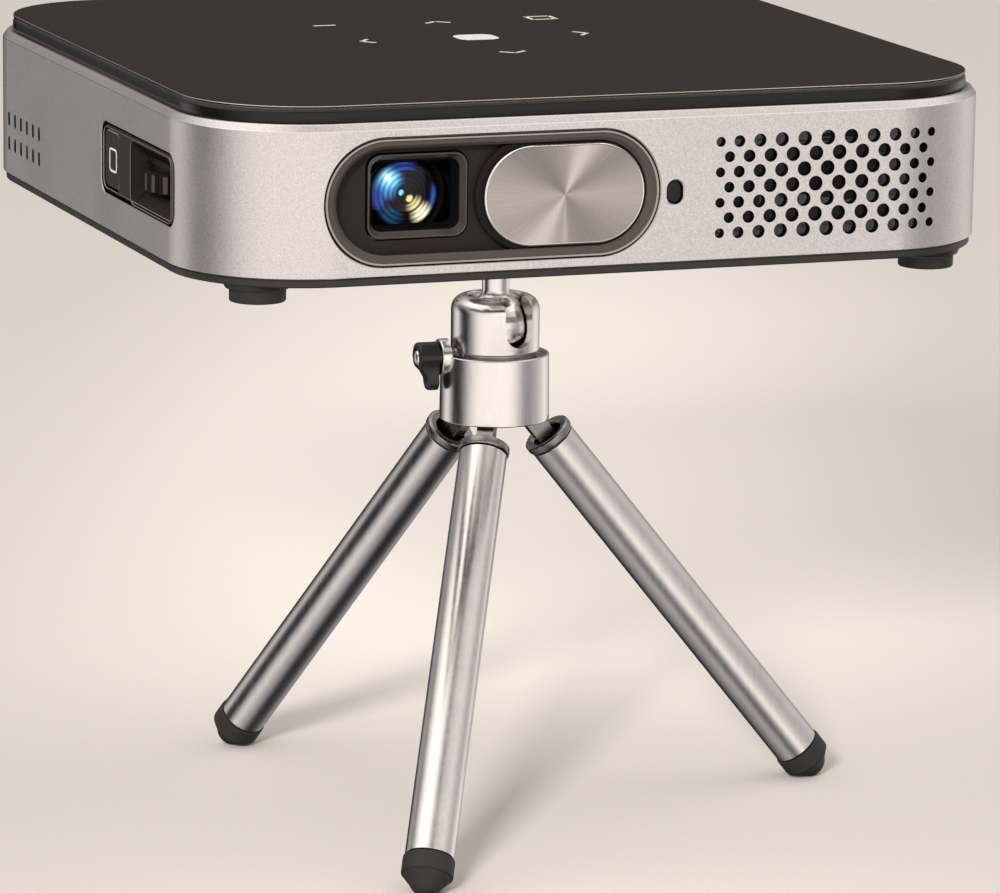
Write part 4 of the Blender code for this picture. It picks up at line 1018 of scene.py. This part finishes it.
def collar():
    low, high, bore = -38.1, -26.1, 9.1
    profile = [
        (bore, high), (9.72, high), (9.86, low), (bore, low), (bore, -32.5), (2.0, -32.5),
        (2.0, -31.3), (7.4, -31.3), (7.4, high - 0.9), (bore, high - 0.9),
    ]
    points = rounded(profile, [0.1, 0.25, 0.25, 0.1, 0.1, 0.1, 0.1, 0.1, 0.1, 0.1])

    def is_inner(middle, _):
        return math.hypot(middle.x, middle.y) < 9.0

    ring = turned("collar_ring", [CHROME, STEEL], points, ON_AXIS, 96, True, is_inner)
    lug = rounded([(0, 8.9), (3.3, 8.9), (3.3, 10.6), (0, 10.6)], [0, 0, 0.35, 0], 3, False)
    carve(ring, turned("lug", [CHROME], lug, KNOB_PLACE, 40), "UNION")
    carve(ring, turned("lug_hole", [STEEL], [(0, 6.5), (1.8, 6.5), (1.8, 11.5), (0, 11.5)], KNOB_PLACE, 24))
    piece(ring, "satin_chrome", "tripod_collar", body="tripod_base")


def cup():
    """The slotted cup round the ball."""
    low, high, outer, fillet, mouth, spigot, spigot_low = -25.6, CUP_TOP, 7.95, 2.6, 4.9, 7.1, -31.0
    profile = []
    for i in range(9):
        a = math.radians(90 * i / 8)
        profile.append((outer - fillet * (1 - math.sin(a)), high - fillet * (1 - math.cos(a))))
    profile += [(outer, low + 0.25), (outer - 0.25, low), (spigot, low), (spigot, spigot_low)]
    profile.append((SOCKET_R, spigot_low))
    mouth_angle = math.acos(mouth / SOCKET_R)
    for i in range(11):
        a = mouth_angle * i / 10
        profile.append((SOCKET_R * math.cos(a), BALL_H + SOCKET_R * math.sin(a)))
    profile += [(mouth, high - 0.4), (mouth + 0.12, high - 0.1), (mouth + 0.35, high)]
    shell = turned("cup_shell", [CHROME], profile, ON_AXIS, 96, True)
    half, top, steps = SLOT_WIDTH / 2, 8.0, 16
    arc = [math.pi * (1 + i / steps) for i in range(steps + 1)]
    ring = [(-half, top), *((half * math.cos(a), half * math.sin(a)) for a in arc), (half, top)]
    slot = bmesh.new()
    loft(slot, [[(u, -d, v + BALL_H) for u, v in ring] for d in (0.5, 9.5)])
    turn = Matrix.Rotation(math.radians(SLOT_AZIMUTH + 90), 4, "Z")
    carve(shell, make(slot, "slot", [CHROME], ON_AXIS @ turn))
    soften(shell, 0.32, 3, 45)
    piece(shell, "satin_chrome", "ball_cup", body="ball_cup", sharp=50)


def stem():
    """The platform, neck and ball in one, and the pad on the platform."""
    profile = [(0, -4.0), (10.7, -4.0), (11.0, -4.3), (11.0, -6.1), (10.6, -6.4), (5.2, -6.6), (3.2, -7.6)]
    profile += [(NECK_R, -9.0), (NECK_R, -14.8), (NECK_R + 0.12, -15.4), (NECK_R + 0.36, -15.85)]
    first, steps = 62.0, 16
    for i in range(steps + 1):
        a = math.radians(first - (first + 90) * i / steps)
        profile.append((max(BALL_R * math.cos(a), 0.0), BALL_H + BALL_R * math.sin(a)))
    neck = turned("ball_neck", [CHROME], rounded(profile, 0.15, 2, False), ON_AXIS, 72)
    piece(neck, "satin_chrome", "ball_stem", body="ball_stem", sharp=60)
    pad = rounded([(10.6, -1.83), (10.6, -3.7), (3.4, -3.7), (3.4, -1.83)], 0.3)
    ring = turned("pad_ring", [RUBBER], pad, ON_AXIS, closed=True)
    piece(ring, "pad_rubber", "platform_pad", body="ball_stem")


def eased(share):
    share = min(max(share, 0.0), 1.0)
    return share * share * (3 - 2 * share)


def knob():
    """The black wing of the clamp: a round boss round the screw, with a lobe that hangs from it."""
    inner, boss_out, lobe_out = 10.9, 14.7, 12.9
    boss_r, lobe_r, reach, waist = 2.8, 2.15, 3.8, 0.55

    def is_inside(point):
        share = min(max(point.x / reach, 0.0), 1.0)
        radius = boss_r + (lobe_r - boss_r) * share - waist * math.sin(math.pi * share)
        return (point - Vector((share * reach, 0))).length < radius

    def edge_point(angle):
        """The outline's point in a direction, found by halving."""
        direction = Vector((math.cos(angle), math.sin(angle)))
        low, high = 0.0, 8.0
        for _ in range(24):
            mid = (low + high) / 2
            low, high = (mid, high) if is_inside(direction * mid) else (low, mid)
        return direction * low

    ring = [edge_point(2 * math.pi * i / 56) for i in range(56)]

    def level(drop, inset):
        """The outline moved inwards, at a drop below the wing's top, or at its inner face if None."""
        found = []
        for p in ring:
            spine = Vector((min(max(p.x, 0.0), reach), 0))
            gap = (p - spine).length
            q = spine + (p - spine) * max(gap - inset, 0.0) / max(gap, 1e-6)
            top = boss_out + (lobe_out - boss_out) * eased((q.x - 1.2) / 2.4)
            found.append((q.x, q.y, inner if drop is None else top - drop))
        return found

    levels = [(None, 0.4), (None, 0.0), (0.55, 0.0), (0.3, 0.06)]
    levels += [(0.1, 0.22), (0.0, 0.5), (0.0, 1.0), (0.05, 1.5)]
    bm = bmesh.new()
    loft(bm, [level(drop, inset) for drop, inset in levels])
    body = make(bm, "knob_wing", [BLACK], KNOB_PLACE)
    bore = [(0, 9.0), (1.7, 9.0), (1.7, 14.3), (1.95, 15.2), (0, 15.2)]
    carve(body, turned("bore", [BLACK], bore, KNOB_PLACE, 32))
    piece(body, "knob_plastic", "clamp_knob", body="clamp_knob", sharp=55)
    screw = [(0, 15.08), (0.7, 15.02), (1.2, 14.8), (1.45, 14.45), (1.45, 8.7), (1.0, 8.3), (0, 8.3)]
    shaft = turned("knob_screw", [CHROME], rounded(screw, 0.1, 2, False), KNOB_PLACE, 32)
    piece(shaft, "satin_chrome", "clamp_screw", body="clamp_knob", sharp=50)


def legs():
    """Each leg's ring, tube and rubber tip, whose bottom is flattened where it stands."""
    for name, azimuth in LEGS.items():
        turn = Matrix.Rotation(math.radians(azimuth), 4, "Z")
        swing = Matrix.Translation((PIVOT_R, 0, PIVOT_H)) @ Matrix.Rotation(-SPREAD, 4, "Y")
        place = ON_AXIS @ turn @ swing
        body = f"leg_{name}"
        ring = [(4.35, -6.28), (4.6, -6.5), (4.6, -7.6), (4.42, -7.88), (3.3, -7.9), (3.3, -10.28)]
        ring += [(2.9, -10.28), (2.9, -6.6), (3.9, -6.28)]
        points = rounded(ring, [0.1, 0.12, 0.12, 0.08, 0, 0.1, 0.1, 0.2, 0.2])
        band = turned(f"{body}_collar", [STEEL], points, place, closed=True)
        piece(band, "hinge_steel", f"{body}_ring", body=body)
        tube_end = -LEG_LENGTH + 0.3
        tube = rounded([(4.3, -8.18), (4.3, tube_end), (3.6, tube_end), (3.6, -8.18)], 0.12, 2)
        pipe = turned(f"{body}_pipe", [TUBE], tube, place, 72, True)
        piece(pipe, "leg_chrome", f"{body}_tube", body=body)
        end = -(LEG_LENGTH + TIP_LENGTH - TIP_R)
        plug = -LEG_LENGTH
        shape = [(0, plug + 4.8), (3.3, plug + 4.8), (3.3, plug), (4.55, plug), (4.55, plug - 3.2)]
        shape += [(4.1, plug - 3.35), (4.05, plug - 3.6), (3.75, end - 0.5)]
        radii = [0, 0.15, 0.05, 0.25, 0.3, 0.1, 0.1, 0.4]
        for i in range(8):
            a = math.radians(-24 - 66 * i / 7)
            shape.append((max(TIP_R * math.cos(a), 0.0), end + TIP_R * math.sin(a)))
            radii.append(0)
        foot = turned(f"{body}_tip", [RUBBER], rounded(shape, radii, 3, False), place)
        for vert in foot.data.vertices:
            vert.co.z = max(vert.co.z, 0.0)
        piece(foot, "tip_rubber", f"{body}_foot", body=body, sharp=50)


# ---- the studio

CAMERA_AZIMUTH = -20.33

# The studio round the object, as soft lights and dark flags. Each has its degrees to the right of
# the camera and up, its sharpness and its strength.
STUDIO_LIGHTS = {
    "left overhead": (-96, 56, 3.7, 1.36),
    "front right wall": (36, 4, 4.4, 1.55),
    "front left bounce": (-26, -25, 3.1, 1.35),
    "low right card": (45, -31, 36, 1.3),
    "rear right card": (133, -15, 10.5, 1.05),
    "rear left card": (-118, -7, 20, 0.95),
    "right overhead": (108, 50, 6.8, 1.4),
    "near floor bounce": (-14, -63, 24, 0.33),
    "low right flag": (53, -27, 5.5, -0.8),
    "left side flag": (-103, 6, 11, -0.85),
    "upper right flag": (50, 48, 7.9, -0.4),
    "left low flag": (-88, -8, 25, -0.5),
    "ceiling": (-40, 82, 5, 0.9),
    "near floor flag": (-4, -49, 7.8, -0.9),
    "upper front flag": (14, 62, 45, -0.8),
    "left corner card": (-110, -14, 15, 0.45),
    "right corner card": (93, -14, 16, 0.35),
    "left corner flag": (-66, -14, 26, -0.36),
    "rear left flag": (-146, -12, 8, -0.2),
}


def toward(azimuth, up):
    """The direction at some degrees round from the front and up."""
    a, e = math.radians(azimuth), math.radians(up)
    return Vector((math.sin(a) * math.cos(e), -math.cos(a) * math.cos(e), math.sin(e)))


def studio_world():
    world = bpy.data.worlds.new("studio")
    bpy.context.scene.world = world
    world.use_nodes = True
    tree = world.node_tree
    direction = node(tree, "TexCoord", 0)
    fill, dimmest = 0.06, 0.02
    total = fill
    for azimuth, up, sharpness, strength in STUDIO_LIGHTS.values():
        aim = toward(azimuth + CAMERA_AZIMUTH, up)
        near = vector_node(tree, "DOT_PRODUCT", direction, aim, out=1)
        total = math_node(tree, "MULTIPLY_ADD", swell(tree, near, sharpness), strength, total)
    total = math_node(tree, "MAXIMUM", total, dimmest)
    warmth = spread(tree, total, 0.2, 1.0, 0.0, 1.0)
    tint = blend(tree, warmth, (0.965, 0.94, 0.985, 1.0), (1.0, 0.955, 0.92, 1.0))
    tree.links.new(scaled(tree, tint, total), tree.nodes["Background"].inputs["Color"])


def floor_paper():
    """Pale paper with a painted pool of light: its colour is brightest behind the object and darker further
    from it.
    """
    rgb = (226, 220, 212)
    made, tree, shader = start("floor_paper", rgb, 0.85)
    at = node(tree, "TexCoord", 3)
    ahead = node(tree, "Mapping", Vector=at, Rotation=(0, 0, -math.radians(CAMERA_AZIMUTH)))
    spreading, shift = (9.0, 1.8, 0), (-0.12, -0.38, 0)
    pool = vector_node(tree, "MULTIPLY_ADD", ahead, spreading, shift)
    reach = vector_node(tree, "LENGTH", pool, out=1)
    fibres = node(tree, "TexNoise", Vector=at, Scale=700.0, Detail=2.0)
    # The painted pool of light, brightest behind the object.
    painted_glow = spread(tree, reach, 0.0, 1.3, 0.97, 0.66, "SMOOTHSTEP")
    tone = times(tree, painted_glow, spread(tree, fibres, 0.3, 0.7, 0.99, 1.01))
    feed(shader, "Base Color", scaled(tree, srgb(*rgb), tone))
    return made


def floor():
    bm = bmesh.new()
    bmesh.ops.create_grid(bm, x_segments=2, y_segments=2, size=4.0)
    mesh = bpy.data.meshes.new("floor")
    bm.to_mesh(mesh)
    bm.free()
    mesh.materials.append(floor_paper())
    made = bpy.data.objects.new("floor", mesh)
    made.visible_glossy = False
    show(made)


def key_light():
    """A soft light a little left of the camera and above it."""
    data = bpy.data.lights.new("key", "AREA")
    data.shape = "RECTANGLE"
    data.size = 0.36
    data.size_y = 0.3
    data.energy = 44
    data.color = (1.0, 0.96, 0.92)
    light = bpy.data.objects.new("key", data)
    out = toward(CAMERA_AZIMUTH - 13, 24)
    middle, distance = Vector((0, 0, 0.09)), 2.0
    light.location = middle + distance * out
    light.rotation_euler = (-out).to_track_quat("-Z", "Y").to_euler()
    light.visible_glossy = False
    show(light)


def camera():
    """The view from the front left and a little above, through a long lens."""
    roll, distance = math.radians(0.7), 1.0696
    target = Vector((0.00547, 0, BAND_Z - 0.04604))
    back = toward(CAMERA_AZIMUTH, 11.64)
    level = (-back).cross(Vector((0, 0, 1))).normalized()
    up = level.cross(-back)
    across = level * math.cos(roll) + up * math.sin(roll)
    upward = up * math.cos(roll) - level * math.sin(roll)
    data = bpy.data.cameras.new("camera")
    data.lens = 211.66
    data.sensor_width = 36
    data.clip_start = 0.01
    made = bpy.data.objects.new("camera", data)
    turn = Matrix((across, upward, back)).transposed().to_4x4()
    made.matrix_world = Matrix.Translation(target + back * distance) @ turn
    show(made)
    bpy.context.scene.camera = made


dress_frame()
side_band()
lid()
under_side()
case_feet()
glyphs()
lens_bezel()
lens_panel()
window_frame()
lens()
sliding_cover()
ir_window()
control_panel()
power_button()
focus_wheel()
rear_panel()
sockets()
collar()
cup()
stem()
knob()
legs()
bpy.context.scene.view_settings.view_transform = "Standard"
studio_world()
floor()
key_light()
camera()
